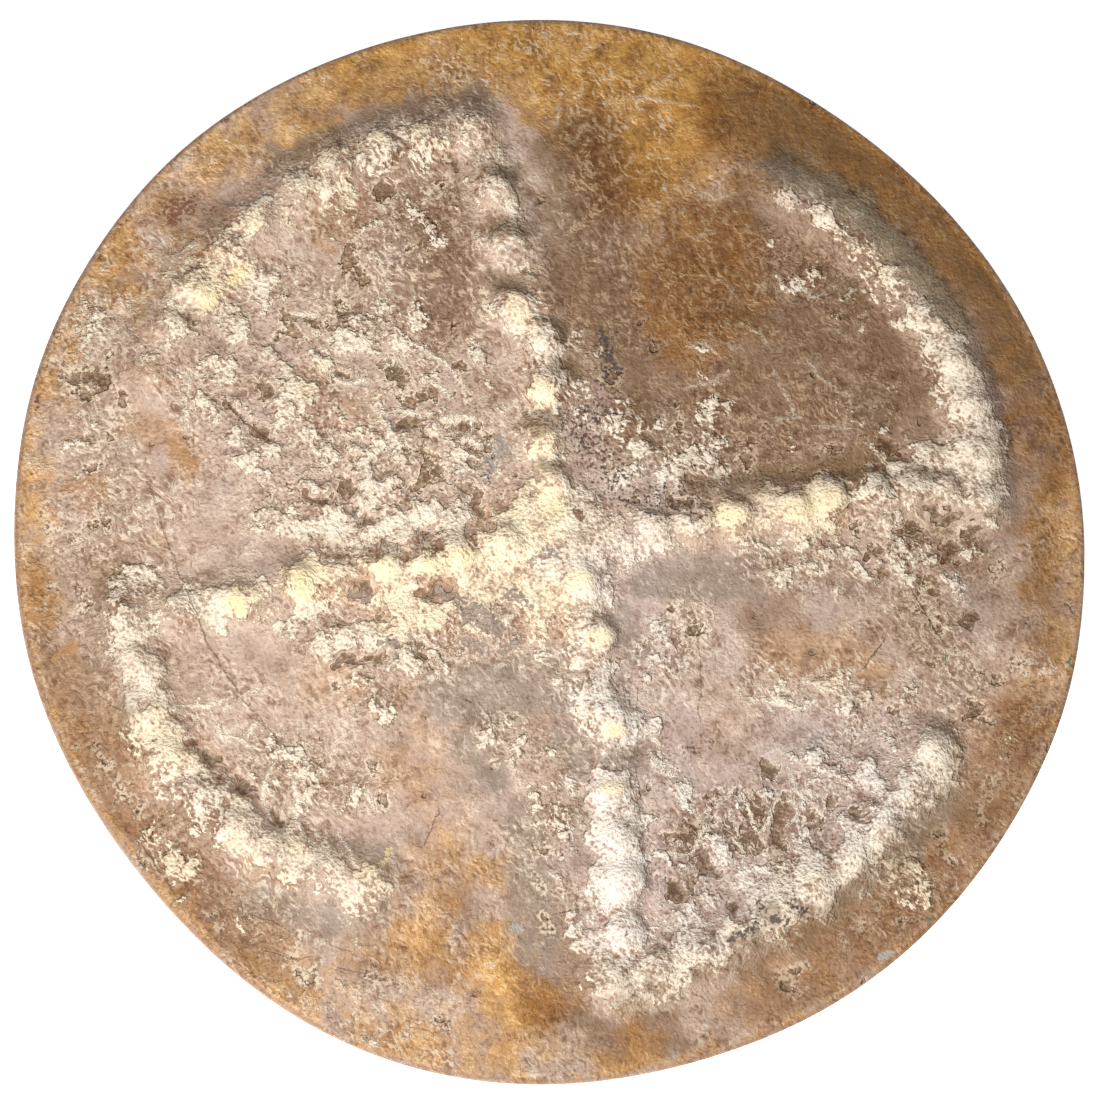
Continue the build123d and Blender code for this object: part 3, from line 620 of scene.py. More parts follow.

# Small marks with a tone of their own, and glints painted as highlights on boss tops: red,
# green and blue as seen, and the strokes
GLINT, RUST, VERDIGRIS = (242, 217, 164), (122, 78, 52), (84, 124, 104)
TAN, SLATE, OLIVE = (170, 128, 86), (146, 127, 114), (164, 146, 116)
BLUE_BLACK, BLUE_GREY, STONE = (74, 64, 60), (148, 136, 132), (176, 170, 160)
stains_and_glints = [
    # Painted highlights: glints on the rubbed tops of bosses
    (GLINT, [
        (1.0, 0.3, [(-10.8, -2.8), (-10.8, -2.2)]), (1.0, 0.24, [(-13.3, -3.6), (-13.3, -3.2)]),
        (0.7, 0.3, [(-5.6, -1.5), (-5.4, -1.5)]), (0.7, 0.3, [(-4.3, -1.0), (-4.1, -1.0)]),
        (0.8, 0.35, [(-13.9, 10.3), (-13.3, 10.8)]), (0.7, 0.3, [(-14.8, 9.2), (-14.5, 9.7)]),
        (0.8, 0.35, [(-7.3, -13.8), (-7.0, -13.4)]), (0.7, 0.3, [(7.1, 0.9), (7.3, 0.9)]),
        (0.6, 0.4, [(1.5, -4.4), (1.7, -4.4)]), (0.8, 0.45, [(2.2, -8.2), (2.4, -8.2)]),
        (0.7, 0.4, [(2.0, -10.7), (2.2, -10.7)]), (0.5, 0.5, [(-0.3, 1.2), (-0.1, 1.4)])]),
    (RUST, [
        (1.0, 0.3, [(0.6, 0.9), (0.9, 0.7)]), (0.8, 0.7, [(-16.3, 13.2), (-15.7, 13.4)]),
        (0.6, 0.5, [(-14.9, 13.5), (-14.5, 13.5)]), (0.6, 0.5, [(-18.6, 12.7), (-18.3, 12.7)]),
        (0.6, 0.5, [(-19.6, 11.2), (-19.3, 11.2)]), (0.8, 0.4, [(-21.8, 5.2), (-21.7, 4.8)])]),
    (TAN, [
        (0.7, 0.4, [(-20.6, 1.2), (-19.9, 1.5), (-19.4, 1.8), (-18.8, 1.4)]),
        (1.0, 0.5, [(-16.1, 3.2), (-15.4, 2.6)]), (1.0, 0.4, [(-21.8, -3.9), (-20.8, -4.1)]),
        (1.0, 0.3, [(-20.7, -5.8), (-19.9, -5.1)]), (0.6, 0.3, [(-20.4, 3.3), (-19.6, 3.5)])]),
    (VERDIGRIS, [
        (1.0, 0.35, [(21.8, -4.8), (21.9, -4.5)]), (0.7, 0.25, [(16.4, -4.9), (16.6, -4.9)]),
        (0.8, 0.3, [(17.8, -13.5), (17.8, -13.2)]), (0.8, 0.3, [(15.5, -15.8), (15.7, -15.6)])]),
    (BLUE_BLACK, [
        (0.9, 0.2, [(8.2, -15.2), (8.4, -15.4)]), (0.8, 0.24, [(9.5, -15.2), (10.3, -15.8)]),
        (0.9, 0.24, [(8.8, -15.8), (9.2, -16.0)]), (0.8, 0.2, [(7.9, -16.0), (8.2, -16.2)]),
        (0.8, 0.22, [(6.8, -16.9), (7.7, -16.4)]), (0.6, 0.3, [(3.6, -18.6), (3.8, -18.6)]),
        (0.6, 0.3, [(5.5, -18.2), (5.8, -18.1)]), (0.5, 0.4, [(12.6, -11.8), (12.9, -12.4)]),
        (0.5, 0.35, [(1.3, 4.6), (1.6, 4.2)]), (0.5, 0.3, [(1.9, 3.6), (2.1, 3.3)]),
        (0.8, 0.3, [(1.5, 5.0), (1.7, 4.8)]), (0.8, 0.3, [(1.1, 4.0), (1.2, 3.8)]),
        (0.7, 0.3, [(2.2, 3.0), (2.4, 2.8)]), (0.7, 0.3, [(3.2, 2.0), (3.4, 1.7)]),
        (0.7, 0.3, [(2.0, 5.6), (2.1, 5.5)]), (0.6, 0.3, [(3.6, 0.9), (3.7, 0.8)]),
        (0.5, 0.3, [(0.9, 5.4), (1.0, 5.2)]), (0.4, 0.3, [(2.5, 4.4), (2.7, 4.2)]),
        (0.58, 2.0, [(1.0, 4.8), (1.8, 3.2), (2.4, 2.6)]), (0.72, 0.7, [(1.9, 8.6), (2.2, 7.0)]),
        (0.5, 1.6, [(2.0, 6.6), (2.2, 5.4)]), (0.55, 1.4, [(3.0, 1.8), (4.2, 1.6), (5.6, 1.8)]),
        (0.38, 0.9, [(7.0, -16.6), (10.6, -15.2)])]),
    (OLIVE, [
        (0.72, 1.3, [(10.4, 15.9), (12.3, 14.9), (13.9, 13.4), (15.6, 11.6), (17.0, 9.6)])]),
    (SLATE, [
        (0.9, 0.7, [(-3.8, -3.3), (-2.6, -3.9)]), (0.85, 0.5, [(-2.1, -2.6), (-1.4, -3.0)]),
        (0.85, 0.45, [(-4.9, -2.5), (-4.3, -2.9)]), (0.8, 0.5, [(-4.0, -4.6), (-3.2, -4.9)]),
        (0.8, 0.5, [(-1.3, -1.3), (-0.5, -0.9)]), (0.8, 0.5, [(-7.4, -4.6), (-6.8, -4.9)]),
        (0.8, 0.5, [(-2.4, -4.9), (-1.6, -4.4)]), (0.8, 0.4, [(-8.6, -2.7), (-8.0, -2.9)])]),
    (BLUE_GREY, [
        (0.8, 0.5, [(-2.9, 2.6), (-2.5, 3.9)]), (0.8, 0.5, [(-0.5, -0.8), (-0.3, -0.8)]),
        (0.7, 0.5, [(10.4, -8.7), (11.0, -8.2)]), (0.6, 0.6, [(-8.6, 6.2), (-8.0, 6.0)]),
        (0.6, 0.5, [(-2.3, 12.0), (-2.2, 11.8)]), (0.5, 0.7, [(-4.4, 2.4), (-3.6, 2.6)])]),
    (STONE, [
        (0.9, 0.3, [(13.4, -17.3), (13.8, -17.1)]), (1.0, 0.2, [(-1.9, -16.5), (-1.6, -16.3)])]),
]


SCREEN_GAMMA = 2.2
FAR_OFF = 1e9


def tone(red, green, blue):
    """A colour as seen, 0 to 255, made linear."""
    return tuple((c / 255) ** SCREEN_GAMMA for c in (red, green, blue)) + (1.0,)


def covered(strokes, places):
    """How strongly brush strokes cover each place, from 0 to 1."""
    cover = np.zeros(len(places))
    for strength, half_width, route in strokes:
        away = np.full(len(places), FAR_OFF)
        for start, end in zip(route[:-1], route[1:]):
            start, run = np.array(start), np.array(end) - np.array(start)
            along = np.clip((places[:, :2] - start) @ run / (run @ run), 0, 1)
            gap = places[:, :2] - start - along[:, None] * run
            away = np.minimum(away, np.hypot(gap[:, 0], gap[:, 1]))
        fade = np.clip(1 - (away / half_width) ** 2, 0, 1)
        cover = np.maximum(cover, strength * fade ** 0.8)
    return cover


def pitted(places):
    """How deep in a pit each place is, from 0 to 1."""
    depth = np.zeros(len(places))
    for x, y, long_half, short_half, degrees in pits:
        lean = math.radians(degrees)
        across, up = places[:, 0] - x, places[:, 1] - y
        along = (across * math.cos(lean) + up * math.sin(lean)) / long_half
        aside = (up * math.cos(lean) - across * math.sin(lean)) / short_half
        depth = np.maximum(depth, np.clip(1.3 - 0.8 * np.hypot(along, aside), 0, 1))
    return depth


def stained_and_glinted(marks, places):
    """Each place's stain, glints painted as highlights among them, as rows of red, green and blue as seen
    and the strength.
    """
    layer = np.zeros((len(places), 4))
    for seen, strokes in marks:
        cover = covered(strokes, places)
        stronger = cover > layer[:, 3]
        layer[stronger, :3] = tone(*seen)[:3]
        layer[stronger, 3] = cover[stronger]
    return layer


def line_gaps(lines, places):
    """Each place's gap in mm to its nearest fine line, above 0 to the left of it, and that
    line's strength, which fades out within half a millimetre."""
    nearest = np.full(len(places), FAR_OFF)
    gaps, strengths = np.ones(len(places)), np.zeros(len(places))
    for strength, route in lines:
        for start, end in zip(route[:-1], route[1:]):
            start, run = np.array(start), np.array(end) - np.array(start)
            offset = places[:, :2] - start
            along = np.clip(offset @ run / (run @ run), 0, 1)
            away = np.hypot(*(offset - along[:, None] * run).T)
            side = np.sign(run[0] * offset[:, 1] - run[1] * offset[:, 0])
            closer = away < nearest
            nearest[closer], gaps[closer] = away[closer], (side * away)[closer]
            strengths[closer] = strength * np.clip(1.5 - 3 * away[closer], 0, 1)
    return gaps, strengths


def highlight_ring_share(places):
    """1 on a pale ring of crust painted as a highlight, below 0 inside it, 0 elsewhere."""
    share = np.zeros(len(places))
    for x, y, radius, half_width in highlight_rings:
        out = np.hypot(places[:, 0] - x, places[:, 1] - y)
        share += np.clip(1 - np.abs(out - radius) / half_width, 0, 1)
        share -= np.clip(1 - out / (radius - half_width / 2), 0, 1)
    return share


def eased(values, rounds):
    """The values after rounds of averaging with their neighbours on the face's net."""
    net = values.reshape(FACE_CELLS + 1, FACE_CELLS + 1)
    for _ in range(rounds):
        ringed = np.pad(net, 1, mode="edge")
        net = (ringed[:-2, 1:-1] + ringed[2:, 1:-1] + ringed[1:-1, :-2] + ringed[1:-1, 2:]) / 4
    return net.ravel()


# The patina's grain runs this way over the face. Its flat patterns are laid on a plane
# tilted from the face, so that they don't smear down the sides of the bosses.
GRAIN_LEAN = math.radians(-52)
FACE_TILT = math.radians(25)
GRAIN_FALL, GRAIN_STEP = 0.8, 2.0


def grained(places, size, octaves, seed, stretch=1.0):
    """Even cloudy noise over the face, spread 1 about 0, with lumps of this size in mm."""
    x, y = places[:, 0], places[:, 1]
    along = (x * math.cos(GRAIN_LEAN) + y * math.sin(GRAIN_LEAN)) / (size * stretch)
    aside = (y * math.cos(GRAIN_LEAN) - x * math.sin(GRAIN_LEAN)) / size
    spots = np.column_stack([along, aside, np.full(len(places), seed)]).tolist()
    cloud = np.array([noise.fractal(spot, GRAIN_FALL, GRAIN_STEP, octaves) for spot in spots])
    return (cloud - cloud.mean()) / cloud.std()


def rises(values, low, high):
    """0 below low, 1 above high, and an even rise between."""
    share = np.clip((values - low) / (high - low), 0, 1)
    return share * share * (3 - 2 * share)


# Build-up says how much lies on the bare metal: under 0.27 is a bare pit, then comes the
# brown skin, then a pale film, and over 0.78 the cream crust. Crests get the most crust, a
# painted highlight that pales their tops, and the hollows beside them get dark dirt and
# painted shade. Each layer starts and is full at these levels.
SKIN, FILM, CRUST = (0.25, 0.29), (0.52, 0.74), (0.73, 0.79)
PLAIN_SKIN = 0.46
CREST_ROUNDS = 60
WANDER = 0.14
face = vertex_places(disc)
stands = face[:, 2] - eased(face[:, 2], CREST_ROUNDS)
# The crests of the relief, marked for a painted highlight
crest_highlight = rises(stands, 0.0, 0.16)
# The relief's hollows, marked here for painted shade
hollow_shade = rises(-stands, 0.015, 0.10)
ragged = face.copy()
ragged[:, 0] += WANDER * grained(face, 0.7, 3, seed=40)
ragged[:, 1] += WANDER * grained(face, 0.7, 3, seed=50)
flaky = covered(flaky_strokes, face)
flakes = grained(face, 1.5, 5, seed=3.7, stretch=1.4)
flake_swing = (0.05 + 0.09 * flaky) * (1 - 0.6 * covered(umber_strokes, face))
# Crests get more crust, a painted highlight that pales the tops of the bosses
buildup = PLAIN_SKIN + covered(crust_strokes, ragged) * (0.34 + 0.10 * crest_highlight)
# Pale rings on some bosses, painted as highlights round their domes
buildup += 0.25 * highlight_ring_share(face) + 0.06 * flaky + flake_swing * flakes
buildup *= 1 - pitted(ragged)

# How strongly the other finishes lie. The cut edge is rubbed, so more brass shows there.
edge = rim_radius(np.arctan2(face[:, 1], face[:, 0]))
edge_gap = edge - np.hypot(face[:, 0], face[:, 1])
rubbed = rises(-edge_gap, -0.55, -0.35)
brass = covered(brass_strokes, ragged) + 0.14 * grained(face, 3.0, 4, seed=8.1)
brass = np.maximum(brass, 0.75 * rubbed * rises(grained(face, 0.7, 3, seed=60), -0.6, 0.8))
grey = covered(grey_strokes, ragged) + 0.08 * grained(face, 1.4, 3, seed=11)
umber = covered(umber_strokes, ragged) + 0.12 * grained(face, 2.4, 4, seed=13)
umber *= (1 - 0.5 * rubbed) * (1 - 0.6 * np.clip(grey, 0, 1))
warm = covered(warm_strokes, ragged) - covered(cool_strokes, ragged)
warm += 0.08 * grained(face, 1.6, 3, seed=17)
# Dirt and painted shade: the charted strokes, and a painted darkening in the hollows of the relief
dirt_and_shade = np.maximum(covered(dirt_and_shade_strokes, ragged), 0.2 * hollow_shade)
dirt_and_shade = (dirt_and_shade + 0.08 * grained(face, 1.2, 4, seed=19)) * (1 - 0.7 * rubbed)
wear_and_sheen = covered(wear_and_sheen_strokes, face)
thready = covered(thready_strokes, face)
line_gap, line_strength = line_gaps(fine_lines, face)

# The skin and the crust are real thicknesses in mm, and the bare pits lie below them
SKIN_THICKNESS = 0.09
CRUST_THICKNESS = 0.09
SINK = 0.03
lift = SKIN_THICKNESS * rises(buildup, 0.16, 0.34)
lift += CRUST_THICKNESS * rises(buildup, 0.66, 0.86) * (1 + 0.35 * grained(face, 0.8, 4, seed=21))
lift += 0.014 * flakes + 0.03 * grained(face, 5.0, 2, seed=30)
face[:, 2] += (lift - SKIN_THICKNESS - SINK) * rises(edge_gap, 0.2, 1.0)
face[:, 2] = np.minimum(face[:, 2], disc_high.z / MM)
move_vertices(disc, face)

# The rim's side wall, and then the back as a net of its own, joined on at the rim
MEAN_READINGS = 60
SHARP_ANGLE = math.radians(60)
bpy.ops.object.mode_set(mode="EDIT")
bpy.ops.mesh.select_mode(type="EDGE")
bpy.ops.mesh.select_all(action="DESELECT")
bpy.ops.mesh.select_non_manifold()
inset, drop = FACE_INSET, 0.0
mean_radius = float(rim_radius(np.linspace(-math.pi, math.pi, MEAN_READINGS)).mean())
for next_inset, next_drop in RIM_ROWS:
    step = (0, 0, -(next_drop - drop) * MM)
    bpy.ops.mesh.extrude_edges_move(TRANSFORM_OT_translate={"value": step})
    grow = (mean_radius - next_inset) / (mean_radius - inset)
    bpy.ops.transform.resize(value=(grow, grow, 1), center_override=(0, 0, 0))
    inset, drop = next_inset, next_drop
bpy.ops.object.mode_set(mode="OBJECT")

back = round_net("disc_back", BACK_CELLS, BACK_INSET, back_z - START_CLEAR)
press_onto(back, cad_disc, BACK_SOFTENING)
bpy.ops.object.select_all(action="DESELECT")
back.select_set(True)
disc.select_set(True)
bpy.context.view_layer.objects.active = disc
bpy.ops.object.join()
bpy.ops.object.mode_set(mode="EDIT")
bpy.ops.mesh.select_all(action="DESELECT")
bpy.ops.mesh.select_non_manifold()
bpy.ops.mesh.bridge_edge_loops()
bpy.ops.mesh.select_all(action="SELECT")
bpy.ops.mesh.normals_make_consistent(inside=False)
bpy.ops.object.mode_set(mode="OBJECT")
bpy.ops.object.shade_smooth_by_angle(angle=SHARP_ANGLE)

# Each chart becomes a layer on the mesh, with one plain value for the rim and the back
charts = [
    ("buildup", buildup, 0.45), ("flaky", flaky, 0.3), ("brass", brass, 0.45), ("grey", grey, 0.0),
    ("umber", umber, 0.6), ("warm", warm, 0.5), ("dirt_and_shade", dirt_and_shade, 0.4), ("wear_and_sheen", wear_and_sheen, 0.0),
    ("thready", thready, 0.0), ("line_gap", line_gap, 1.0), ("line_strength", line_strength, 0.0),
]
point_count = len(disc.data.vertices)
for name, on_face, elsewhere in charts:
    layer = np.full(point_count, elsewhere, dtype=np.float32)
    layer[:face_count] = on_face
    disc.data.attributes.new(name, "FLOAT", "POINT").data.foreach_set("value", layer)
stain_and_glint_layer = np.zeros((point_count, 4), dtype=np.float32)
stain_and_glint_layer[:face_count] = stained_and_glinted(stains_and_glints, (face + ragged) / 2)
disc.data.attributes.new("stain_and_glint", "FLOAT_COLOR", "POINT").data.foreach_set("color", stain_and_glint_layer.ravel())


class Finish:
    """A material's node tree, with a short call for each node that a finish is mixed from."""

    def __init__(self, name):
        self.material = bpy.data.materials.new(name)
        self.material.use_nodes = True
        self.tree = self.material.node_tree
        self.tree.nodes.clear()
        in_mm = self.node("ShaderNodeVectorMath", operation="SCALE")
        self.feed(in_mm.inputs[0], self.node("ShaderNodeTexCoord").outputs["Object"])
        in_mm.inputs["Scale"].default_value = 1 / MM
        self.mm = in_mm.outputs["Vector"]

    def node(self, kind, **settings):
        made = self.tree.nodes.new(kind)
        for name, value in settings.items():
            setattr(made, name, value)
        return made

    def feed(self, socket, value):
        if isinstance(value, bpy.types.NodeSocket):
            self.tree.links.new(value, socket)
        else:
            socket.default_value = value

    def cloud(self, size, detail, roughness=0.6, place=None, flat=False):
        """Noise from 0 to 1 with lumps of this size in mm."""
        made = self.node("ShaderNodeTexNoise", noise_dimensions="2D" if flat else "3D")
        self.feed(made.inputs["Vector"], place or self.mm)
        made.inputs["Scale"].default_value = 1 / size
        made.inputs["Detail"].default_value = detail
        made.inputs["Roughness"].default_value = roughness
        return made.outputs["Fac"]

    def cells(self, size, place):
        """A random value for each angular cell of about this size in mm."""
        made = self.node("ShaderNodeTexVoronoi", voronoi_dimensions="2D")
        self.feed(made.inputs["Vector"], place)
        made.inputs["Scale"].default_value = 1 / size
        return made.outputs["Color"]

    def turned(self, angles, stretch):
        """The place in mm on turned axes, with patterns drawn out along them."""
        made = self.node("ShaderNodeMapping", vector_type="TEXTURE")
        self.feed(made.inputs["Vector"], self.mm)
        made.inputs["Rotation"].default_value = angles
        made.inputs["Scale"].default_value = stretch
        return made.outputs["Vector"]

    def pushed(self, place, value, push):
        """The place, moved by the value times this push in mm."""
        made = self.node("ShaderNodeVectorMath", operation="MULTIPLY_ADD")
        self.feed(made.inputs[0], value)
        made.inputs[1].default_value = push
        self.feed(made.inputs[2], place)
        return made.outputs["Vector"]

    def charted(self, name):
        return self.node("ShaderNodeAttribute", attribute_name=name).outputs["Fac"]

    def painted(self, name):
        made = self.node("ShaderNodeAttribute", attribute_name=name)
        return made.outputs["Color"], made.outputs["Alpha"]

    def maths(self, operation, *values):
        made = self.node("ShaderNodeMath", operation=operation)
        for socket, value in zip(made.inputs, values):
            self.feed(socket, value)
        return made.outputs[0]

    def plus(self, first, second):
        return self.maths("ADD", first, second)

    def times(self, first, second):
        return self.maths("MULTIPLY", first, second)

    def times_plus(self, first, second, third):
        return self.maths("MULTIPLY_ADD", first, second, third)

    def larger(self, first, second):
        return self.maths("MAXIMUM", first, second)

    def spread(self, value, amount):
        """Noise from 0 to 1 made to swing this much about 0."""
        return self.times(self.maths("SUBTRACT", value, 0.5), amount)

    def rise(self, value, low, high, start=0.0, end=1.0):
        """A smooth way from start, where the value is low, to end, where it is high."""
        made = self.node("ShaderNodeMapRange", interpolation_type="SMOOTHSTEP")
        for socket, number in zip(made.inputs, (value, low, high, start, end)):
            self.feed(socket, number)
        return made.outputs["Result"]

    def band(self, value, foot, top, far_top, far_foot):
        """1 where the value is between the tops, 0 outside the feet."""
        return self.times(self.rise(value, foot, top), self.rise(value, far_top, far_foot, 1.0, 0.0))

    def blend(self, share, first, second, mode="MIX"):
        made = self.node("ShaderNodeMix", data_type="RGBA", blend_type=mode)
        self.feed(made.inputs["Factor"], share)
        self.feed(made.inputs[6], first)
        self.feed(made.inputs[7], second)
        return made.outputs[2]

    def laid(self, under, share, most, over):
        """One colour laid over another where the share is high, at most this strongly."""
        return self.blend(self.rise(share, 0.0, 1.0, 0.0, most), under, over)

    def filtered(self, under, share, red, green, blue):
        """A colour as through a filter that passes these shares of it."""
        return self.blend(share, under, self.blend(1.0, under, (red, green, blue, 1.0), "MULTIPLY"))

    def ramp(self, value, *stops):
        """Tones along a value. Each stop is the value and then red, green and blue as seen."""
        made = self.node("ShaderNodeValToRGB")
        self.feed(made.inputs["Fac"], value)
        dots = made.color_ramp.elements
        while len(dots) < len(stops):
            dots.new(1.0)
        for dot, (place, *seen) in zip(dots, stops):
            dot.position = place
            dot.color = tone(*seen)
        return made.outputs["Color"]

    def relief(self, height):
        """The normal for a relief whose height is given in mm."""
        made = self.node("ShaderNodeBump")
        made.inputs["Strength"].default_value = 1.0
        made.inputs["Distance"].default_value = MM
        self.feed(made.inputs["Height"], height)
        return made.outputs["Normal"]

    def surface(self, **sockets):
        shader = self.node("ShaderNodeBsdfPrincipled")
        for name, value in sockets.items():
            self.feed(shader.inputs[name.replace("_", " ")], value)
        self.feed(self.node("ShaderNodeOutputMaterial").inputs["Surface"], shader.outputs["BSDF"])


# The grain of the patina, in lumps of these sizes in mm
FLAKE_SIZE, CHIP_SIZE, GRIT_SIZE, MOTTLE_SIZE = 1.1, 0.75, 0.15, 3.2
STREAK_STRETCH = 3.0
bronze = Finish("patinated_bronze")
on_face = bronze.turned((FACE_TILT, 0, GRAIN_LEAN), (1.0, 1.0, 1.0))
along_grain = bronze.turned((FACE_TILT, 0, GRAIN_LEAN), (STREAK_STRETCH, 1.0, 1.0))
flaking = bronze.cloud(FLAKE_SIZE, 4, 0.55, place=on_face, flat=True)
grit = bronze.cloud(GRIT_SIZE, 1)
mottle = bronze.cloud(MOTTLE_SIZE, 2)
chips = bronze.cells(CHIP_SIZE, bronze.pushed(on_face, flaking, (0.9, -0.9, 0.0)))
streaks = bronze.cloud(GRIT_SIZE, 1, place=bronze.pushed(along_grain, flaking, (0.0, 1.1, 0.0)), flat=True)
flaky_here = bronze.charted("flaky")
thready_here = bronze.charted("thready")
charted_buildup = bronze.charted("buildup")
mottled_streaks = bronze.rise(mottle, 0.42, 0.56, 0.5, 1.1)
thready_streaks = bronze.rise(thready_here, 0.1, 0.7, 0.5, 1.3)
brushed = bronze.plus(bronze.spread(streaks, bronze.larger(mottled_streaks, thready_streaks)), 0.5)

# How much lies on the bare metal, once the flaking has broken the chart up
coarse = bronze.spread(flaking, bronze.rise(flaky_here, 0.0, 1.0, 0.6, 1.35))
coarse = bronze.times(coarse, bronze.rise(charted_buildup, 0.1, 0.42, 0.2, 1.0))
chipped = bronze.spread(chips, bronze.rise(flaky_here, 0.0, 1.0, 0.03, 0.17))
gritty = bronze.spread(grit, bronze.rise(charted_buildup, 0.50, 0.80, 0.20, 0.34))
streaked = bronze.spread(brushed, bronze.rise(charted_buildup, 0.44, 0.80, 0.12, 0.60))
height_level = bronze.plus(charted_buildup, coarse)
level = bronze.plus(height_level, bronze.plus(chipped, bronze.plus(gritty, streaked)))
skin_here = bronze.rise(level, *SKIN)
film_here = bronze.rise(level, *FILM)
crust_here = bronze.rise(level, *CRUST)
crust_foot_shade = bronze.band(level, 0.69, 0.72, 0.74, 0.76)
# Pale rims round the pits: curled skin, partly a painted highlight
pit_rim_and_highlight = bronze.times(bronze.band(level, 0.27, 0.29, 0.36, 0.43), bronze.rise(flaky_here, 0.1, 0.5))
pit_rim_and_highlight = bronze.times(pit_rim_and_highlight, bronze.rise(grit, 0.42, 0.54, 0.2, 1.0))

# The skin lies in thin ledges, and some of their edges get a painted highlight above and a
# dark line below, partly a crack and partly painted shade
LEDGES = 6.0
ledge_count = bronze.times(flaking, LEDGES)
ledge_part = bronze.maths("FRACT", ledge_count)
tread = bronze.plus(bronze.maths("FLOOR", ledge_count), bronze.rise(ledge_part, 0.44, 0.60))
edges_here = bronze.times(bronze.rise(mottle, 0.44, 0.58), bronze.rise(flaky_here, 0.0, 1.0, 0.35, 1.0))
ledge_highlight = bronze.times(bronze.band(ledge_part, 0.48, 0.54, 0.58, 0.70), edges_here)
crevice_and_shade = bronze.times(bronze.band(ledge_part, 0.26, 0.38, 0.42, 0.48), edges_here)

# Pale threads, in tufts, and the charted fine lines
thread_tufts = bronze.times(thready_here, bronze.rise(flaking, 0.44, 0.60, 0.3, 2.2))
threads_here = bronze.rise(bronze.times_plus(grit, 1.5, thread_tufts), 0.85, 1.75)
thread = bronze.times(bronze.rise(brushed, 0.52, 0.62), threads_here)
lines_here = bronze.charted("line_strength")
from_line = bronze.maths("ABSOLUTE", bronze.plus(bronze.charted("line_gap"), bronze.spread(flaking, 0.4)))
from_line = bronze.times(from_line, bronze.rise(lines_here, -0.1, 0.1, 2.0, 0.7))
on_line = bronze.rise(bronze.plus(bronze.spread(grit, 0.35), from_line), 0.03, 0.09, 1.0, 0.0)
line = bronze.times(on_line, bronze.times(lines_here, bronze.rise(grit, 0.40, 0.50, 0.6, 1.0)))

# The metal's skin: mauve brown, or golden brown where the brass shows, and grey in places
grain = bronze.times_plus(flaking, 0.44, bronze.times(brushed, 0.26))
grain = bronze.times_plus(grit, 0.20, bronze.times_plus(mottle, 0.10, grain))
skin_tone = bronze.ramp(
    grain, (0.37, 140, 107, 85), (0.48, 186, 158, 138), (0.54, 194, 168, 149), (0.64, 226, 202, 184))
skin_tone = bronze.blend(bronze.rise(mottle, 0.36, 0.48, 0.3, 0.0), skin_tone, tone(184, 162, 148))
patchy = bronze.plus(bronze.spread(flaking, 0.6), bronze.spread(mottle, 1.4))
warm_level = bronze.plus(bronze.charted("warm"), patchy)
warm_here = bronze.rise(warm_level, 0.05, 0.80)
warm_skin = bronze.ramp(grain, (0.37, 138, 98, 66), (0.50, 186, 144, 106), (0.64, 218, 184, 150))
skin_tone = bronze.laid(skin_tone, warm_here, 0.7, warm_skin)
brass_level = bronze.plus(bronze.charted("brass"), bronze.spread(flaking, 0.8))
brass_here = bronze.rise(brass_level, 0.30, 0.85)
brass_tone = bronze.ramp(grain, (0.37, 148, 103, 60), (0.50, 197, 150, 98), (0.64, 230, 188, 134))
deep_brass = bronze.ramp(grain, (0.37, 146, 100, 48), (0.50, 196, 144, 74), (0.64, 226, 178, 110))
brass_tone = bronze.blend(bronze.rise(brass_level, 0.85, 1.35), brass_tone, deep_brass)
skin_tone = bronze.blend(brass_here, skin_tone, brass_tone)
grey_here = bronze.rise(bronze.times_plus(grit, 0.5, bronze.charted("grey")), 0.50, 1.05)
grey_skin = bronze.ramp(grain, (0.37, 135, 116, 98), (0.50, 150, 130, 113), (0.64, 172, 154, 137))
skin_tone = bronze.laid(skin_tone, grey_here, 0.8, grey_skin)

# Bare pits under the skin, then dust, threads, dark crevices with painted shade, painted rim highlights
# and specks on it
bare_tone = bronze.ramp(
    bronze.times_plus(grit, 0.6, level), (0.05, 80, 62, 46), (0.36, 116, 92, 70), (0.58, 168, 138, 110))
ground = bronze.blend(skin_here, bare_tone, skin_tone)
ground = bronze.laid(ground, film_here, 0.6, tone(208, 184, 160))
dust = bronze.times(bronze.rise(brushed, 0.56, 0.66), bronze.rise(charted_buildup, 0.40, 0.62, 0.35, 1.0))
ground = bronze.laid(ground, dust, 0.6, tone(232, 216, 194))
ground = bronze.laid(ground, thready_here, 0.5, tone(138, 104, 76))
# A dark line under the ledge edges, a crack with painted shade
ground = bronze.laid(ground, crevice_and_shade, 0.7, tone(112, 80, 56))
specks = bronze.times(bronze.rise(grit, 0.36, 0.43, 1.0, 0.0), bronze.rise(flaky_here, 0.1, 0.8, 0.1, 0.5))
specks = bronze.larger(specks, bronze.rise(brushed, 0.28, 0.38, 0.4, 0.0))
ground = bronze.blend(specks, ground, tone(122, 88, 62))
# Pale edges: threads, and painted highlights on the ledge and pit rims
pale_and_highlit_edges = bronze.larger(bronze.larger(ledge_highlight, bronze.times(pit_rim_and_highlight, 0.9)), thread)
ground = bronze.laid(ground, pale_and_highlit_edges, 0.8, tone(234, 214, 186))
umber_level = bronze.plus(bronze.charted("umber"), bronze.spread(mottle, 0.8))
umber_here = bronze.rise(bronze.times_plus(flaking, 0.8, umber_level), 0.45, 1.35)
ground = bronze.filtered(ground, umber_here, 0.56, 0.46, 0.36)

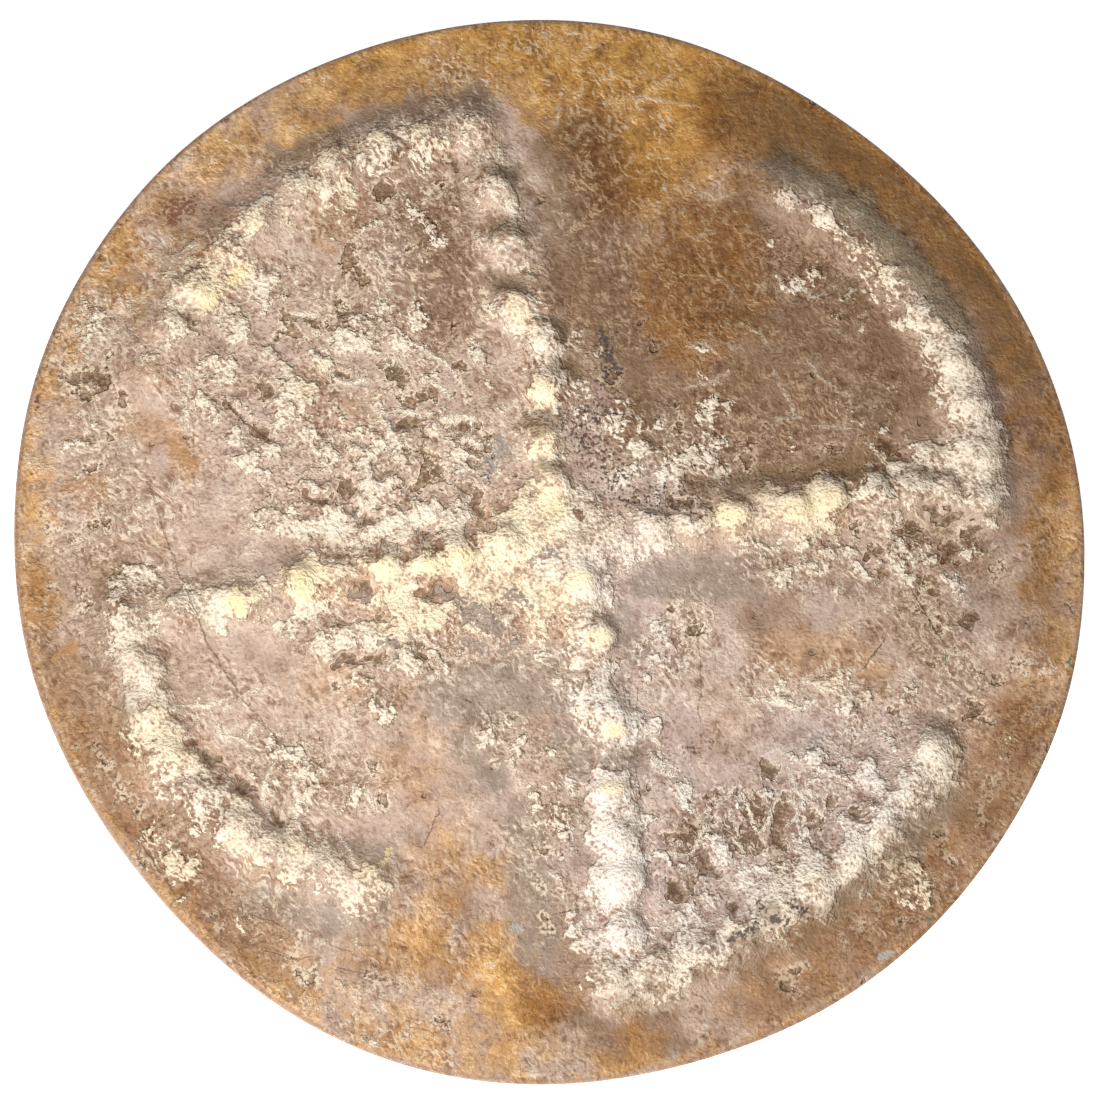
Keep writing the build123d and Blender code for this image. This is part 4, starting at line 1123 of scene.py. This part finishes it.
# The crust: cream, warmer on the arms, and yellow on the tops of some bosses, partly rubbed crust and
# partly a painted highlight
crust_grain = bronze.times_plus(grit, 0.4, bronze.times(flaking, 0.3))
crust_grain = bronze.times_plus(brushed, 0.3, crust_grain)
crust_grain = bronze.plus(crust_grain, bronze.rise(charted_buildup, 0.75, 1.05, -0.02, 0.045))
crust_tone = bronze.ramp(
    crust_grain, (0.39, 128, 102, 80), (0.44, 182, 158, 136), (0.50, 214, 194, 171), (0.57, 237, 222, 200))
warm_crust = bronze.ramp(crust_grain, (0.40, 160, 124, 88), (0.48, 218, 190, 148), (0.57, 244, 224, 184))
crust_tone = bronze.laid(crust_tone, warm_here, 0.5, warm_crust)
# The yellow painted sheen on the boss tops, partly rubbed crust
wear_and_sheen_here = bronze.rise(bronze.times_plus(grit, 0.6, bronze.charted("wear_and_sheen")), 0.5, 1.1)
wear_and_sheen_tone = bronze.ramp(wear_and_sheen_here, (0.2, 230, 194, 144), (0.9, 246, 226, 182))
crust_tone = bronze.laid(crust_tone, wear_and_sheen_here, 0.6, wear_and_sheen_tone)

# Over both: dirt and painted shade, the cool cast of some quarters, the stains with their painted glints,
# and the fine lines
colour = bronze.blend(crust_here, ground, crust_tone)
# Painted shade: a dark band round the foot of the crust
colour = bronze.laid(colour, crust_foot_shade, 0.35, tone(126, 92, 66))
# Dirt and painted shade, laid darker over the colour
dirt_and_shade_here = bronze.rise(bronze.times_plus(grit, 0.5, bronze.charted("dirt_and_shade")), 0.40, 1.20)
colour = bronze.laid(colour, dirt_and_shade_here, 0.6, tone(118, 92, 62))
cool_here = bronze.rise(warm_level, -0.9, -0.1, 1.0, 0.0)
colour = bronze.filtered(colour, cool_here, 1.02, 1.06, 1.17)
# The stains, with painted glints of highlight among them
stain_and_glint_tone, stain_and_glint_strength = bronze.painted("stain_and_glint")
stain_and_glint_here = bronze.rise(bronze.times_plus(grit, -1.3, stain_and_glint_strength), -0.12, 0.12)
colour = bronze.laid(colour, stain_and_glint_here, 0.85, stain_and_glint_tone)
colour = bronze.laid(colour, line, 1.0, tone(246, 230, 206))
colour = bronze.blend(bronze.rise(line, -1.0, 0.0, 1.0, 0.0), colour, tone(96, 74, 56))

# Heights in mm
height = bronze.times(tread, bronze.rise(flaky_here, 0.0, 1.0, 0.08 / LEDGES, 0.15 / LEDGES))
height = bronze.times_plus(bronze.rise(height_level, 0.24, 0.30), 0.08, height)
height = bronze.times_plus(bronze.rise(height_level, 0.71, 0.81), 0.06, height)
height = bronze.times_plus(grit, bronze.rise(height_level, 0.45, 0.80, 0.04, 0.10), height)
height = bronze.times_plus(line, 0.05, height)
bronze.surface(
    Base_Color=colour,
    Metallic=bronze.rise(brass_here, 0.0, 1.0, 0.0, 0.25),
    Roughness=bronze.rise(crust_here, 0.0, 1.0, 0.55, 0.8),
    Normal=bronze.relief(height),
)
disc.data.materials.clear()
disc.data.materials.append(bronze.material)
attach(disc, "root")
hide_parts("disc")

# The pin fitting: a hinge foot, a barrel, a pin and a catch of dull brass, held by
# solder across the sheet's hidden back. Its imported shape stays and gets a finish.
dull = Finish("dull_pin_brass")
dull_mottle = dull.cloud(1.6, 5)
dull_grit = dull.cloud(0.2, 3)
dull_tone = dull.blend(dull.rise(dull_mottle, 0.35, 0.65), tone(118, 84, 52), tone(158, 122, 76))
dull_tone = dull.blend(dull.rise(dull_grit, 0.5, 0.8), dull_tone, tone(90, 64, 44))
dull_height = dull.times_plus(dull_grit, 0.5, dull_mottle)
dull.surface(
    Base_Color=dull_tone,
    Metallic=0.6,
    Roughness=dull.rise(dull_mottle, 0.3, 0.7, 0.42, 0.62),
    Normal=dull.relief(dull.times(dull_height, 0.05)),
)
pin_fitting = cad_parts["pin_fitting"]
pin_fitting.data.materials.clear()
pin_fitting.data.materials.append(dull.material)

# The table top: a plain pale sheet that the brooch lies on. It isn't part of the object.
CARD_SIZE = 1.2
CARD_GLOW = 0.85
bpy.ops.object.select_all(action="DESELECT")
bpy.ops.mesh.primitive_plane_add(size=CARD_SIZE, location=(0, 0, 0))
table_top = bpy.context.object
table_top.name = "table_top"
pale = Finish("pale_card")
pale.surface(
    Emission_Color=(1, 1, 1, 1),
    Emission_Strength=CARD_GLOW,
    Base_Color=(0.92, 0.92, 0.92, 1),
    Roughness=0.8,
)
pale.material.cycles.emission_sampling = "NONE"
table_top.data.materials.append(pale.material)

# The light: a window lamp far off below the picture, a weaker lamp close above the
# disc's left half, and an even white room.
ROOM_STRENGTH = 0.20
Lamp = namedtuple("Lamp", "name place size watts")
lamps = [
    Lamp("window_lamp", (-94.0, -202.0, 201.0), 70.0, 0.94),
    Lamp("near_lamp", (-10.0, -4.0, 38.0), 14.0, 0.0048),
]
for each in lamps:
    bpy.ops.object.light_add(type="AREA", location=[c * MM for c in each.place])
    lamp = bpy.context.object
    lamp.name = each.name
    lamp.rotation_euler = Vector(each.place).to_track_quat("Z", "Y").to_euler()
    lamp.data.shape = "DISK"
    lamp.data.size = each.size * MM
    lamp.data.energy = each.watts
    lamp.visible_camera = False
room = bpy.data.worlds.new("white_room")
room.use_nodes = True
room.node_tree.nodes["Background"].inputs["Color"].default_value = (1, 1, 1, 1)
room.node_tree.nodes["Background"].inputs["Strength"].default_value = ROOM_STRENGTH
bpy.context.scene.world = room
bpy.context.scene.view_settings.view_transform = "Standard"

# The camera: held close over the disc, leaning a little to the lower left, as in the
# photograph, with the top of the face straight up in the picture.
AIM = Vector((-0.41, -0.65, face_z))
CAMERA_DISTANCE = 157.5
CAMERA_TILT = math.radians(14.27)
CAMERA_BEARING = math.radians(233.3)
CAMERA_LENS = 124.265
SENSOR_WIDTH = 36.0
NEAREST_SEEN = 0.01
towards = Vector((math.cos(CAMERA_BEARING) * math.sin(CAMERA_TILT),
                  math.sin(CAMERA_BEARING) * math.sin(CAMERA_TILT), math.cos(CAMERA_TILT)))
bpy.ops.object.camera_add(location=(AIM + towards * CAMERA_DISTANCE) * MM)
camera = bpy.context.object
camera.name = "photo_camera"
camera.data.lens = CAMERA_LENS
camera.data.sensor_width = SENSOR_WIDTH
camera.data.clip_start = NEAREST_SEEN
up = (Vector((0, 1, 0)) - towards.y * towards).normalized()
right = up.cross(towards)
turn = camera.matrix_world.copy()
for row in range(3):
    turn[row][0], turn[row][1], turn[row][2] = right[row], up[row], towards[row]
camera.matrix_world = turn
bpy.context.scene.camera = camera
